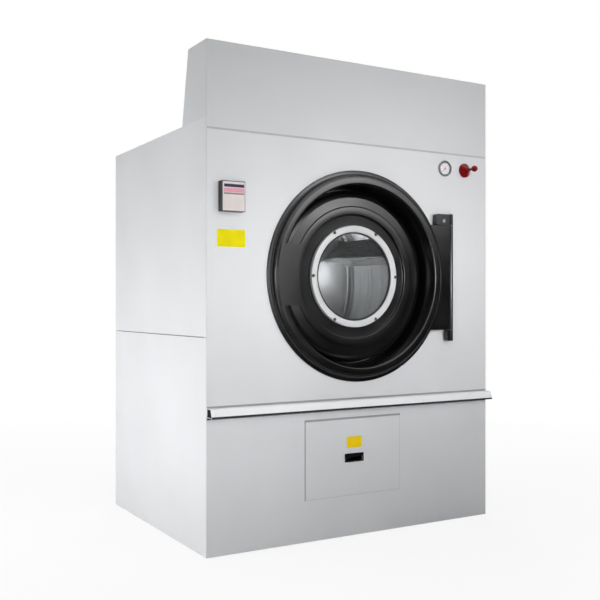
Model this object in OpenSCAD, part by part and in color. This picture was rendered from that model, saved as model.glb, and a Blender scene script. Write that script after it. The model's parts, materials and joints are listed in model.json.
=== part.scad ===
// Front-loading industrial tumble dryer, steam heated, with its exhaust at the rear.
// A welded frame of square tube is clad in folded sheet panels.
// In the modules, y starts at the front face of the cabinet and runs into the machine.

/* [Drum] */
// Outer radius of the drum
drum_r = 570; // [550:5:600]
// Length of the drum along its axis
drum_l = 838; // [800:2:880]
// Thickness of the drum sheet
drum_t = 3; // [2:0.5:5]
// Distance from the front face to the front of the drum
drum_front_y = 112; // [110:1:125]
// Distance from the drum wall in to the door mouth
mouth_margin = 133; // [128:1:142]
// Depth of the lip round the mouth of the drum
lip_d = 15; // [12:1:20]
// How far the mouth collar reaches into the lip of the drum
collar_lap = 12; // [6:1:12]
// Space between the front of the drum and the lifters
lifter_gap = 30; // [10:5:60]
// Number of lifters in the drum
lifter_count = 4; // [3:1:5]
// Height of a lifter above the drum wall
lifter_h = 150; // [120:5:170]
// Width of a lifter at its foot
lifter_w = 150; // [120:5:180]
// Radius of the rounded crest of a lifter
lifter_crest_r = 14; // [8:1:20]
// Angle of the first lifter above the horizontal
lifter_angle = 16.7; // [0:0.1:30]
// Radial gap between the mouth collar and the lip of the drum
lip_gap = 6; // [4:1:10]
// Radius of the drum shaft at the front bearing and the pulley
shaft_r = 40; // [35:1:45]
// Radius of the drum shaft at the rear bearing
shaft_end_r = 35; // [28:1:35]
// Number of arms of the spider that carries the drum
spider_arms = 4; // [3:1:6]
// Length of the spider hub along the shaft
spider_l = 30; // [25:1:40]
// Thickness of the spider arms
spider_arm_t = 22; // [16:1:24]
// Width of a spider arm at the hub
spider_arm_w = 90; // [70:2:100]
// Width of a spider arm at the drum wall
spider_tip_w = 56; // [44:2:66]
// Radius of the spider hub
spider_hub_r = 80; // [70:1:100]

/* [Cabinet] */
// Space between the drum and the frame at each side
side_space = 143; // [130:1:180]
// Space between the drum and the lint shelf
shelf_space = 47; // [40:1:60]
// Space between the drum and the roof
roof_space = 93; // [80:1:110]
// Height of the lint shelf above the floor
shelf_z = 590; // [570:5:640]
// Space between the spider and the rear bulkhead
bulkhead_gap = 8; // [6:1:12]
// Space between the pulley and the rear posts
rear_space = 23; // [18:1:60]
// Height of the header above the roof
header_h = 330; // [280:5:340]
// Depth of the header at its top
header_top_d = 193; // [160:1:230]
// Depth of the header where it stands on the roof
header_foot_d = 261; // [235:1:280]
// How far the header front hangs below the roof
header_lap = 42.5; // [35:0.5:60]
// Height of the seam between the side panels
side_seam_z = 935; // [850:5:990]
// Thickness of the sheet panels
sheet_t = 2; // [1.5:0.1:2.5]
// Depth of the folded edges of the panels
fold_w = 25; // [20:1:35]
// Width of the seams between panels
seam = 3; // [2:0.5:5]
// Height of the foot of the ledge above the lint shelf
ledge_rise = 5; // [0:1:10]
// Height of the ledge on the front
ledge_h = 48; // [40:1:60]
// Reach of the ledge at its top edge
ledge_top_reach = 38; // [30:1:44]
// Reach of the ledge at its lower edge
ledge_foot_reach = 52; // [46:1:60]
// Width of the folds at the back of the ledge
ledge_fold_w = 15; // [10:1:20]
// Distance from the machine middle to the middle of the vents in the rear
vent_x = 330; // [300:10:380]
// Width of a vent slot
vent_w = 220; // [160:10:240]
// Height of a vent slot
vent_h = 8; // [6:1:12]
// Distance from one vent slot to the next
vent_pitch = 28; // [22:1:32]
// Number of slots in a vent
vent_rows = 6; // [4:1:7]
// Distance from the roof down to the upper vents
vent_from_roof = 420; // [380:10:500]
// Distance from the seam of the rear panels up to the lower vents
vent_from_seam = 120; // [60:10:160]

/* [Frame] */
// Width of the square frame tube
tube_w = 40; // [36:1:44]
// Wall of the frame tube
tube_t = 3; // [2:0.5:4]
// Height of the base frame
base_h = 60; // [50:1:70]
// Side length of the square foot plates
foot_w = 110; // [90:1:130]
// Thickness of the foot plates
foot_t = 10; // [8:1:15]
// Radius of the anchor holes in the foot plates
anchor_r = 9; // [6:0.5:12]
// Height of the beams under the drum bearings
beam_h = 80; // [60:1:100]
// Height of the drum axis above the bearing beams
bearing_h = 90; // [84:1:100]
// Radius of the bearing housings
housing_r = 70; // [64:1:76]
// Thickness of the feet of the bearing housings
housing_foot_t = 26; // [18:1:30]

/* [Door] */
// Width of the flange round the mouth
flange_w = 55; // [50:1:65]
// Thickness of the flange round the mouth
flange_t = 8; // [6:1:12]
// Thickness of the collar that leads into the drum
collar_t = 3; // [2:0.5:5]
// How far the door rim reaches past the mouth
rim_lap = 32; // [28:1:36]
// Reach of the door face in front of the cabinet
door_reach = 34; // [30:1:42]
// Thickness of the door seal
door_seal_t = 3.7; // [3:0.1:6]
// Thickness of the pressed door shell
door_t = 3; // [2:0.5:4]
// Width of the flat ring on the face of the door
door_face_w = 45; // [40:1:50]
// Depth of the round channel pressed into the door
channel_d = 108; // [95:1:115]
// Inward lean of the channel wall over its depth
channel_draft = 7; // [5:1:12]
// Width of the channel floor
floor_w = 12; // [8:1:20]
// Radius of the top of the cone inside the channel
cone_r = 327; // [315:1:340]
// Depth of the top of the cone behind the cabinet face
cone_d = 38; // [32:1:44]
// Radius of the step round the window
step_r = 290; // [270:1:300]
// Depth of the window seat behind the cabinet face
seat_d = 50; // [46:1:58]
// Radius of the sight hole in the door
sight_r = 205; // [190:1:215]
// Outer radius of the window ring
ring_r = 239; // [232:1:250]
// Width of the window ring
ring_w = 30; // [24:1:32]
// Thickness of the window ring
ring_t = 18; // [14:1:22]
// Number of screws in the window ring
ring_screws = 6; // [4:1:12]
// Thickness of the door glass
glass_t = 7.5; // [5:0.5:8]
// Thickness of the window seal
window_seal_t = 2.5; // [2:0.5:4]
// Width of the window ring outside the glass
rebate_w = 14; // [12:1:16]
// Radius of the window screws
screw_r = 3; // [2:0.5:4]
// Radius of the heads of the window screws
screw_head_r = 6; // [5:0.5:6.5]

/* [Door hardware] */
// Distance from the mouth flange to the hinge pin
hinge_gap = 35; // [30:1:45]
// Height of the hinge plate on the door
hinge_plate_h = 512; // [460:2:540]
// Thickness of the hinge plate on the door
hinge_plate_t = 6; // [5:0.5:8]
// Radius of the hinge pin
pin_r = 7; // [5:0.5:8]
// Radius of the hinge knuckle
knuckle_r = 11; // [10:0.5:13]
// Height of each fixed hinge bracket
bracket_h = 55; // [45:1:65]
// Reach of the upper hinge bracket to the left of the pin
upper_reach = 95; // [80:1:100]
// Reach of the lower hinge bracket to the left of the pin
lower_reach = 25; // [20:1:30]
// Height of the door handle
handle_h = 274; // [200:2:300]
// Thickness of the door handle
handle_t = 4; // [3:0.5:6]
// How far the handle reaches in over the channel
handle_reach = 74; // [60:1:80]
// Distance from the rim of the door to the handle
handle_edge = 14; // [10:1:18]
// Depth of the fold along the inner edge of the handle
handle_fold = 12; // [8:1:16]
// Number of magnets that hold the door shut
catch_magnets = 8; // [4:1:12]
// Radius of a catch magnet
magnet_r = 8; // [5:0.5:10]
// Thickness of a catch magnet
magnet_t = 5; // [3:0.5:5]

/* [Lint drawer] */
// Middle of the drawer, to the right of the machine middle
drawer_x = -29; // [-60:1:20]
// Width of the drawer opening
drawer_w = 528; // [480:2:560]
// Height of the drawer opening
drawer_h = 355; // [330:1:365]
// Gap round the drawer front
drawer_gap = 1.5; // [1:0.1:3]
// Depth of the drawer front
drawer_front_d = 20; // [16:1:24]
// Length of the tray behind the drawer front
tray_l = 580; // [500:5:600]
// Depth of the tray
tray_h = 245; // [200:5:260]
// Space between the side of the drawer opening and the tray
tray_inset = 28; // [26:1:32]
// Width of the rim that the tray slides on
tray_rim_w = 18; // [14:1:20]
// Distance from the top of the drawer opening down to the tray
tray_drop = 65; // [62:1:72]
// Space between the side of the drawer opening and the chamber wall
chamber_margin = 8; // [6:1:12]
// Depth of the lint chamber below the drawer opening
chamber_drop = 60; // [50:1:66]
// Space behind the tray for the air on its way to the fan
fan_space = 140; // [120:5:150]
// Width of the finger pull
pull_w = 103; // [90:1:120]
// Height of the finger pull
pull_h = 40; // [34:1:50]
// Width of the border of the lint screen
screen_border = 22; // [16:1:30]
// Width of the bars of the lint screen
screen_bar = 5; // [4:0.5:8]
// Number of screen cells along each side of the lint screen
screen_cells = 7; // [5:1:9]

/* [Drive] */
// Outer radius of the drum pulley
drum_pulley_r = 300; // [260:5:330]
// Width of the drum pulley
pulley_w = 46; // [42:1:50]
// Thickness of the flanges of the pulleys
pulley_flange_t = 5; // [4:0.5:6]
// Number of holes in the web of the drum pulley
pulley_holes = 6; // [4:1:8]
// Space between the drum pulley and the middle posts
pulley_gap = 8; // [6:1:12]
// Radius of the motor pulley
small_pulley_r = 50; // [40:1:60]
// Thickness of the flat ribbed belt
belt_t = 5; // [4:0.5:7]
// Middle of the gear motor, to the right of the machine middle
drive_x = 430; // [420:1:450]
// Height of the gear motor axis
drive_z = 330; // [300:1:360]
// Width and height of the gearbox
gearbox_w = 150; // [140:2:160]
// Depth of the gearbox
gearbox_d = 120; // [100:1:125]
// Radius of the motor bodies
motor_r = 78; // [70:1:84]
// Length of the drive motor
motor_l = 180; // [150:1:185]
// Radius of the gearbox output shaft
output_r = 15; // [12:1:18]

/* [Exhaust fan] */
// Distance of the fan to the left of the middle of the drawer
fan_offset = 51; // [41:1:61]
// Height of the fan axis
fan_z = 310; // [300:1:315]
// Radius of the impeller
impeller_r = 180; // [170:1:185]
// Width of the impeller
impeller_w = 110; // [90:1:120]
// Number of impeller blades
blade_count = 10; // [6:1:14]
// Width of the fan housing
scroll_w = 160; // [150:1:170]
// Least radius of the fan housing
scroll_r = 200; // [195:1:205]
// Growth of the housing radius up to its outlet
scroll_growth = 62; // [50:1:65]
// Length of the fan motor
fan_motor_l = 200; // [160:1:210]
// Radius of the fan shaft
fan_shaft_r = 12; // [10:1:16]
// Length of the outlet beside the fan housing
outlet_l = 80; // [60:5:90]
// Space between the spigot and the walls of the duct
duct_margin = 10; // [8:1:14]
// Height of the spigot above the fan axis
spigot_rise = 20; // [10:1:20]
// Radius of the round exhaust spigot
spigot_r = 150; // [120:1:155]
// Length of the exhaust spigot behind the cabinet
spigot_l = 90; // [60:1:120]

/* [Heater] */
// Width of the heater casing on the roof
heater_w = 800; // [700:10:900]
// Height of the heater casing
heater_h = 280; // [260:5:320]
// Space between the header and the heater casing
heater_gap = 80; // [60:5:100]
// Distance from the rear of the cabinet to the heater casing
heater_from_back = 84; // [60:1:110]
// Distance from the steam coil to the rear of the heater casing
coil_from_back = 170; // [140:5:200]
// Depth of the steam coil
coil_d = 90; // [80:1:100]
// Width of the opening in the roof under the heater
roof_opening_w = 720; // [600:10:760]
// Length of the opening in the roof under the heater
roof_opening_l = 400; // [300:10:440]
// Distance from one slat of the intake louvre to the next
slat_pitch = 36; // [30:1:44]
// Number of fins on the steam coil
fin_count = 14; // [8:1:20]
// Number of tubes in each row of the steam coil
coil_rows = 4; // [3:1:5]
// Radius of the steam coil tubes
coil_tube_r = 12; // [10:0.5:14]
// Radius of the steam flanges
steam_flange_r = 57.5; // [54:0.5:60]
// Radius of the bolt circle of the steam flanges
steam_circle_r = 42.5; // [40:0.5:44]
// Radius of the bolt holes in the steam flanges
steam_bolt_r = 7; // [6:0.5:8]
// Bore radius of the steam pipes
steam_bore_r = 14; // [12:0.5:16]
// Wall of the steam pipes
steam_pipe_t = 6; // [3:0.5:7]
// Thickness of the steam flanges
steam_flange_t = 16; // [12:1:20]
// Length of the steam pipes outside the casing
steam_pipe_l = 60; // [40:5:80]

/* [Controls] */
// Width of the control box
control_w = 111; // [100:1:140]
// Height of the control box
control_h = 130; // [110:1:160]
// Reach of the control box in front of the cabinet
control_reach = 38; // [30:1:45]
// Distance from the left side to the control box
control_from_side = 55; // [40:1:60]
// Distance from the roof down to the control box
control_from_roof = 269; // [200:1:300]
// Distance from the right side to the thermometer
gauge_from_side = 270; // [250:1:290]
// Distance from the roof down to the thermometer axis
gauge_from_roof = 121; // [110:1:125]
// Radius of the thermometer bezel
gauge_r = 39; // [34:1:42]
// Reach of the thermometer in front of the cabinet
gauge_reach = 12; // [10:0.5:16]
// Depth of the dial behind the bezel
dial_depth = 8; // [7:0.5:9]
// Width of the bezel of the thermometer
bezel_w = 9; // [8:0.5:11]
// Distance from the right side to the stop button
stop_from_side = 142; // [120:1:160]
// Radius of the stop button base
base_r = 37; // [32:1:40]
// Reach of the stop button base
base_reach = 36; // [32:1:40]
// Reach of the stop button in front of the cabinet
stop_reach = 92; // [80:1:100]
// Radius of the ball on the stop button
stop_ball_r = 15.5; // [12:0.5:18]
// Radius of the stop button stem
stop_stem_r = 6; // [4:0.5:8]
// Bore radius of the mains cable gland
gland_bore_r = 10; // [8:0.5:12]
// Distance from the side of the cabinet to the cable gland
gland_from_side = 180; // [140:5:260]
// Distance from the roof down to the cable gland
gland_from_roof = 90; // [70:5:130]
// Width of the electrical plate in the header
board_w = 400; // [380:10:500]
// Distance from the right side to the electrical plate
board_from_side = 80; // [60:5:100]
// Number of contactors on the electrical plate
relay_count = 5; // [2:1:5]
// Width of a contactor
relay_w = 52; // [44:1:56]
// Height of a contactor
relay_h = 85; // [70:1:95]
// Depth of a contactor
relay_d = 66; // [50:1:72]

/* [Hidden] */
$fn = 96;

// Clearances shared by all the pieces
fit = 0.3;
run_fit = 0.05;
over = 1;
weld = 0.5;

// Heights of the drum axis and the roof, and the width and depth of the cabinet
axis_z = shelf_z + shelf_space + drum_r;
cabinet_h = axis_z + drum_r + roof_space;
inset = fold_w + sheet_t;
cabinet_w = 2 * (drum_r + side_space + tube_w + inset);
half_w = cabinet_w / 2;
drum_back_y = drum_front_y + drum_l;
bulkhead_y = drum_back_y + spider_l + bulkhead_gap;
mid_post_y = bulkhead_y + sheet_t;
pulley_y = mid_post_y + tube_w + pulley_gap;
rear_post_y = pulley_y + pulley_w + rear_space;
cabinet_d = rear_post_y + tube_w + inset;
rear_reach = spigot_l;
front_face_y = (stop_reach - rear_reach - cabinet_d) / 2;

// Inside and outside lines of the frame
frame_x = half_w - inset;
frame_inner_x = frame_x - tube_w;
frame_top_z = cabinet_h - sheet_t;
panel_x = half_w - sheet_t - fit;
anchor_edge = (foot_w - tube_w) / 2;
beam_top_z = axis_z - bearing_h;
ledge_z = shelf_z + ledge_rise;
panel_seam_z = ledge_z + ledge_h / 2;
shelf_rail_z = shelf_z - sheet_t - tube_w;

// Door profile and hinge
mouth_r = drum_r - mouth_margin;
lip_r = mouth_r + collar_t + lip_gap;
rim_r = mouth_r + rim_lap;
flange_r = mouth_r + flange_w;
seal_r = mouth_r + 8;
door_back = flange_t + fit + door_seal_t;
channel_r = rim_r - door_face_w - channel_draft;
hinge_x = flange_r + hinge_gap;
hinge_y = hinge_plate_t - door_reach;
catch_r = mouth_r + (rim_lap + magnet_r) / 2;
handle_inner_r = rim_r - door_face_w - handle_reach;
handle_outer_r = rim_r - handle_edge;
collar_end_y = drum_front_y + collar_lap;
window_r = ring_r - ring_w;
window_seal_r = window_r - 8;
rebate_r = ring_r - rebate_w;
rebate_d = glass_t + window_seal_t;
seat_front_y = seat_d - ring_t;
screws_r = ring_r - rebate_w / 2;

// Lint drawer and chamber
drawer_top_z = shelf_rail_z - seam;
drawer_z = drawer_top_z - drawer_h;
tray_x = drawer_w / 2 - tray_inset;
tray_rim_x = tray_x + tray_rim_w;
tray_top_z = drawer_top_z - tray_drop;
tray_z = tray_top_z - tray_h;
tray_back_y = drawer_front_d + tray_l;
chamber_x = drawer_w / 2 + chamber_margin;
chamber_z = drawer_z - chamber_drop;
chamber_back_y = tray_back_y + fan_space;
baffle_y = tray_back_y + 3 * sheet_t;
pull_edge = 5;
pull_wall = 8;
pull_z = (drawer_z + drawer_top_z - pull_h - 7) / 2;

// Drive, fan and exhaust
belt_y = pulley_y + pulley_flange_t + fit;
belt_w = pulley_w - 2 * pulley_flange_t - 2 * fit;
belt_mid_y = pulley_y + pulley_w / 2;
gearbox_back_y = pulley_y - pulley_gap;
gearbox_y = gearbox_back_y - gearbox_d;
collar_d = 10;
motor_flange_t = 12;
fin_t = 4;
fin_h = 12;
fan_x = drawer_x - fan_offset;
scroll_y = chamber_back_y + 5;
scroll_back_y = scroll_y + scroll_w;
scroll_start = 150;
scroll_sweep = 300;
outlet_x = -scroll_r - outlet_l;
duct_w = 2 * (spigot_r + duct_margin);
duct_right_x = fan_x + outlet_x;
duct_top_z = fan_z + scroll_r + scroll_growth + 3 * sheet_t;
duct_back_y = cabinet_d - sheet_t;
spigot_x = duct_right_x - sheet_t - duct_w / 2;
spigot_z = fan_z + spigot_rise;
inlet_r = impeller_r - 50;
fan_motor_y = scroll_back_y + 14;
fan_foot_y = [fan_motor_y + 30, fan_motor_y + 150];

// Heater
heater_y = header_foot_d + heater_gap;
heater_back_y = cabinet_d - heater_from_back;
coil_y = heater_back_y - coil_from_back;
steam_margin = steam_flange_r + 10;
steam_y = coil_y + coil_d / 2;
roof_opening_y = heater_y + 40;
casing_border = 40;

// Controls
gauge_x = half_w - gauge_from_side;
gauge_z = cabinet_h - gauge_from_roof;
stop_x = half_w - stop_from_side;
control_x = control_from_side - half_w;
control_z = cabinet_h - control_from_roof - control_h;
control_wall = 2;
film_margin = 3;
dial_y = dial_depth - gauge_reach;
dial_r = gauge_r - bezel_w;
socket_r = gauge_r - 8;
board_x = [half_w - board_from_side - board_w, half_w - board_from_side];
board_y = 60;
gland_x = gland_from_side - half_w;
gland_z = cabinet_h - gland_from_roof;

// Moves a piece from the front face to its place in the machine
module from_front()
    translate([0, front_face_y, 0])
        children();

// A box between two limits along each axis
module block(x, y, z)
    translate([x[0], y[0], z[0]])
        cube([x[1] - x[0], y[1] - y[0], z[1] - z[0]]);

// The same shape on the left and on the right
module both_sides() {
    children();
    mirror([1, 0, 0])
        children();
}

// An outline of x and z, drawn out along y
module slab_y(y0, y1)
    translate([0, y1, 0])
        rotate([90, 0, 0])
            linear_extrude(y1 - y0)
                children();

// An outline of y and z, drawn out along x
module slab_x(x0, x1)
    translate([x0, 0, 0])
        rotate([90, 0, 90])
            linear_extrude(x1 - x0)
                children();

// A profile of radius and y, turned about an axis along y
module turned(x = 0, z = 0)
    translate([x, 0, z])
        rotate([-90, 0, 0])
            rotate_extrude()
                children();

// A round bar along y
module rod_y(r, y0, y1, x = 0, z = 0)
    translate([x, y0, z])
        rotate([-90, 0, 0])
            cylinder(r = r, h = y1 - y0);

// A round bar along x
module rod_x(r, x0, x1, y, z)
    translate([x0, y, z])
        rotate([0, 90, 0])
            cylinder(r = r, h = x1 - x0);

// A folded panel that faces the front, with its edges folded back
module front_pan(x, z, y0, depth)
    difference() {
        block(x, [y0, y0 + depth], z);
        block([x[0] + sheet_t, x[1] - sheet_t], [y0 + sheet_t, y0 + depth + over],
              [z[0] + sheet_t, z[1] - sheet_t]);
    }

// A folded panel that faces the rear, with its edges folded forward
module rear_pan(x, z, y1, depth)
    difference() {
        block(x, [y1 - depth, y1], z);
        block([x[0] + sheet_t, x[1] - sheet_t], [y1 - depth - over, y1 - sheet_t],
              [z[0] + sheet_t, z[1] - sheet_t]);
    }

// A hollow frame tube along x, y or z between two limits
module tube_x(x, y, z, d = tube_w, h = tube_w)
    difference() {
        block(x, [y, y + d], [z, z + h]);
        block([x[0] - over, x[1] + over], [y + tube_t, y + d - tube_t], [z + tube_t, z + h - tube_t]);
    }

module tube_y(x, y, z, w = tube_w, h = tube_w)
    difference() {
        block([x, x + w], y, [z, z + h]);
        block([x + tube_t, x + w - tube_t], [y[0] - over, y[1] + over], [z + tube_t, z + h - tube_t]);
    }

module tube_z(x, y, z)
    difference() {
        block([x, x + tube_w], [y, y + tube_w], z);
        block([x + tube_t, x + tube_w - tube_t], [y + tube_t, y + tube_w - tube_t],
              [z[0] - over, z[1] + over]);
    }

// Unit normal to the right of the line from one point to the next
function normal(a, b) = let (d = b - a, n = norm(d)) [d[1] / n, -d[0] / n];

// Corner of a wall of thickness t where two of its lines meet
function mitre(p, n0, n1, t) = p + (n0 + n1) * t / (1 + n0 * n1);

// Outline of a bent sheet: the points of its outer face, then those of its inner face
function sheet_outline(path, t) =
    let (last = len(path) - 1, inner = [for (i = [0 : last])
             let (n0 = normal(path[max(i - 1, 0)], path[max(i, 1)]),
                  n1 = normal(path[min(i, last - 1)], path[min(i + 1, last)]))
             mitre(path[i], n0, n1, t)])
    concat(path, [for (i = [last : -1 : 0]) inner[i]]);

// Outline of the fan housing, drawn in by a margin
function scroll_outline(margin, end_x) =
    concat([for (a = [0 : 20 : scroll_sweep])
               let (r = scroll_r + scroll_growth * a / scroll_sweep - margin)
               [r * cos(scroll_start + a), r * sin(scroll_start + a)]],
           [[end_x, scroll_r + scroll_growth - margin],
            [end_x, scroll_r * sin(scroll_start) + margin]]);

// Frame

module base_frame() color("dimgray") from_front() {
    side_y = [inset, cabinet_d - inset];
    hollow_x = frame_inner_x - 2 * tube_t;
    hollow_z = [tube_t, base_h - tube_t];
    difference() {
        union() {
            difference() {
                union() {
                    both_sides()
                        block([frame_inner_x, frame_x], side_y, [0, base_h]);
                    for (y = [inset, chamber_back_y, mid_post_y, rear_post_y])
                        block([-frame_inner_x - weld, frame_inner_x + weld], [y, y + tube_w],
                              [0, base_h]);
                }
                both_sides()
                    block([frame_inner_x - over, frame_x - tube_t],
                          [inset + tube_w, rear_post_y], hollow_z);
                for (y = [inset, chamber_back_y, mid_post_y])
                    block([-hollow_x, hollow_x], [y + tube_t, y + tube_w + over], hollow_z);
                block([-hollow_x, hollow_x], [rear_post_y - over, rear_post_y + tube_w - tube_t],
                      hollow_z);
            }
            both_sides()
                for (y = [inset, cabinet_d - inset - foot_w])
                    block([frame_x - foot_w, frame_x - tube_t], [y + tube_t, y + foot_w - tube_t],
                          [0, foot_t]);
        }
        both_sides()
            for (y = [inset, cabinet_d - inset - foot_w])
                translate([frame_inner_x - anchor_edge,
                           y < cabinet_d / 2 ? y + foot_w - anchor_edge : y + anchor_edge, -over])
                    cylinder(r = anchor_r, h = foot_t + 2 * over);
    }
}

module corner_posts() color("dimgray") from_front()
    both_sides()
        for (y = [inset, mid_post_y, rear_post_y])
            tube_z(frame_inner_x, y, [base_h, frame_top_z]);

module frame_rails() color("dimgray") from_front() {
    span = [-frame_inner_x, frame_inner_x];
    top_z = frame_top_z - tube_w;
    for (y = [inset, rear_post_y])
        tube_x(span, y, top_z);
    tube_x(span, inset, shelf_rail_z);
    tube_x(span, rear_post_y, panel_seam_z - tube_w / 2);
    both_sides()
        for (z = [top_z, side_seam_z - tube_w / 2, shelf_rail_z]) {
            tube_y(frame_inner_x, [inset + tube_w, mid_post_y], z);
            tube_y(frame_inner_x, [mid_post_y + tube_w, rear_post_y], z);
        }
}

module bearing_beams() color("dimgray") from_front() {
    tube_x([sheet_t - frame_inner_x, frame_inner_x - sheet_t], mid_post_y, beam_top_z - beam_h,
           tube_w, beam_h);
    tube_x([-frame_inner_x, frame_inner_x], rear_post_y, beam_top_z - beam_h, tube_w, beam_h);
}

// Panels

module side_sheet(z, folds) {
    block([half_w - sheet_t, half_w], [0, cabinet_d], z);
    for (fold_z = folds)
        block([frame_x, half_w - sheet_t + weld], [inset + over, cabinet_d - inset - over],
              [fold_z, fold_z + sheet_t]);
}

module side_panels() color("gainsboro") from_front()
    both_sides() {
        side_sheet([seam, side_seam_z - seam / 2], [seam, side_seam_z - seam / 2 - sheet_t]);
        side_sheet([side_seam_z + seam / 2, cabinet_h], [side_seam_z + seam / 2]);
    }

module front_panel() color("gainsboro") from_front()
    difference() {
        front_pan([-panel_x, panel_x], [panel_seam_z + seam / 2, cabinet_h - header_lap - seam / 2],
                  0, inset);
        rod_y(mouth_r + collar_t + fit, -over, inset, 0, axis_z);
        rod_y(socket_r, -over, inset, gauge_x, gauge_z);
        rod_y(stop_stem_r + 4, -over, inset, stop_x, gauge_z);
    }

module lower_front_panel() color("gainsboro") from_front() {
    x0 = drawer_x - drawer_w / 2;
    x1 = drawer_x + drawer_w / 2;
    difference() {
        union() {
            front_pan([-panel_x, panel_x], [seam, panel_seam_z - seam / 2], 0, inset);
            block([x0 - sheet_t, x1 + sheet_t], [sheet_t - weld, inset],
                  [drawer_z - sheet_t, drawer_top_z + sheet_t]);
        }
        block([x0, x1], [-over, inset + over], [drawer_z, drawer_top_z]);
    }
}

module vent_slots(z)
    for (x = [-vent_x, vent_x])
        for (row = [0 : vent_rows - 1])
            block([x - vent_w / 2, x + vent_w / 2], [cabinet_d - sheet_t - over, cabinet_d + over],
                  [z + row * vent_pitch, z + row * vent_pitch + vent_h]);

module rear_panels() color("gainsboro") from_front()
    difference() {
        union() {
            rear_pan([-panel_x, panel_x], [seam, panel_seam_z - seam / 2], cabinet_d, inset);
            rear_pan([-panel_x, panel_x], [panel_seam_z + seam / 2, cabinet_h - sheet_t - fit],
                     cabinet_d, inset);
        }
        rod_y(spigot_r + sheet_t, cabinet_d - inset, cabinet_d + over, spigot_x, spigot_z);
        vent_slots(panel_seam_z + vent_from_seam);
        vent_slots(cabinet_h - vent_from_roof);
        rod_y(gland_bore_r + 5, cabinet_d - inset, cabinet_d + over, gland_x, gland_z);
    }

module roof_panel() color("gainsboro") from_front() {
    x = [-panel_x, panel_x];
    y = [sheet_t + fit, cabinet_d - sheet_t - fit];
    difference() {
        block(x, y, [cabinet_h - inset, cabinet_h]);
        block([x[0] + sheet_t, x[1] - sheet_t], [y[0] - over, y[1] + over],
              [cabinet_h - inset - over, frame_top_z]);
        block([-roof_opening_w / 2, roof_opening_w / 2],
              [roof_opening_y, roof_opening_y + roof_opening_l],
              [frame_top_z - over, cabinet_h + over]);
        for (end_y = [[y[0] - over, inset + over], [cabinet_d - inset - over, y[1] + over]])
            block([x[0] - over, x[1] + over], end_y, [cabinet_h - inset - over, frame_top_z]);
    }
}

module header_shell() color("silver") from_front() {
    top_z = cabinet_h + header_h;
    slope = norm([header_foot_d - header_top_d, header_h]) / header_h * sheet_t;
    lean = (header_foot_d - header_top_d) / header_h;
    difference() {
        slab_x(-half_w, half_w)
            polygon([[0, cabinet_h], [header_foot_d, cabinet_h], [header_top_d, top_z], [0, top_z]]);
        slab_x(sheet_t - half_w, half_w - sheet_t)
            polygon([[sheet_t, cabinet_h - over],
                     [header_foot_d - slope + lean * over, cabinet_h - over],
                     [header_top_d - slope + lean * sheet_t, top_z - sheet_t],
                     [sheet_t, top_z - sheet_t]]);
    }
    block([-panel_x, panel_x], [0, sheet_t], [cabinet_h - header_lap + seam / 2, cabinet_h + weld]);
}

module ledge_rail() color("white") from_front()
    slab_x(-panel_x, panel_x)
        polygon(sheet_outline([[0, ledge_z + ledge_fold_w / 2], [0, ledge_z + ledge_h],
                               [-ledge_top_reach, ledge_z + ledge_h], [-ledge_foot_reach, ledge_z],
                               [ledge_fold_w - ledge_foot_reach, ledge_z]], -sheet_t));

module rear_bulkhead() color("lightgray") from_front()
    difference() {
        front_pan([-frame_inner_x, frame_inner_x], [shelf_z, frame_top_z], bulkhead_y, inset);
        rod_y(shaft_r + tube_w / 2, bulkhead_y - over, bulkhead_y + inset, 0, axis_z);
    }

module air_baffles() color("lightgray") from_front() {
    drum_gap = 10;
    z = side_seam_z + tube_w / 2;
    inner_x = sqrt(pow(drum_r + drum_gap, 2) - pow(axis_z - z, 2));
    both_sides() {
        block([inner_x, frame_x], [inset + tube_w, bulkhead_y], [z, z + sheet_t]);
        block([inner_x, inner_x + sheet_t], [inset + tube_w, bulkhead_y], [z - fold_w, z + weld]);
    }
}

// Mouth and door

module mouth_ring() color("black") from_front()
    difference() {
        turned(0, axis_z)
            polygon([[mouth_r, -flange_t], [flange_r, -flange_t], [flange_r, 0],
                     [mouth_r + collar_t, 0], [mouth_r + collar_t, collar_end_y],
                     [mouth_r, collar_end_y]]);
        catch_places()
            rod_y(magnet_r, -flange_t - over, magnet_t - flange_t, catch_r, axis_z);
    }

module door_shell() color("#1c1c1e") from_front()
    turned(0, axis_z)
        polygon(sheet_outline([[seal_r, -door_back], [rim_r, -door_back], [rim_r, -door_reach],
                               [rim_r - door_face_w, -door_reach], [channel_r, channel_d],
                               [channel_r - floor_w, channel_d]], door_t));

// The inner part of the door, which stands on the channel floor and carries the window
module door_dish() color("#1c1c1e") from_front()
    turned(0, axis_z)
        polygon(sheet_outline([[channel_r - over, channel_d - door_t],
                               [channel_r - floor_w, channel_d - door_t],
                               [cone_r, cone_d], [step_r, cone_d], [step_r, seat_d], [sight_r, seat_d]],
                              door_t));

module door_seals() color("slategray") from_front() {
    seal_lip = 7;
    turned(0, axis_z)
        polygon([[seal_r, -door_back], [rim_r + seal_lip, -door_back],
                 [rim_r + seal_lip, -flange_t - fit], [seal_r, -flange_t - fit]]);
    turned(0, axis_z)
        polygon([[window_seal_r, seat_d - rebate_d], [rebate_r - fit, seat_d - rebate_d],
                 [rebate_r - fit, seat_d - glass_t], [window_seal_r, seat_d - glass_t]]);
}

module window_ring() color("whitesmoke") from_front()
    difference() {
        turned(0, axis_z)
            polygon([[window_r, seat_front_y], [ring_r - sheet_t, seat_front_y],
                     [ring_r, seat_front_y + sheet_t], [ring_r, seat_d], [rebate_r, seat_d],
                     [rebate_r, seat_d - rebate_d], [window_r, seat_d - rebate_d]]);
        for (i = [0 : ring_screws - 1])
            about_axis(i * 360 / ring_screws)
                rod_y(screw_r, seat_front_y - over, seat_d + over, screws_r, axis_z);
    }

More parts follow.
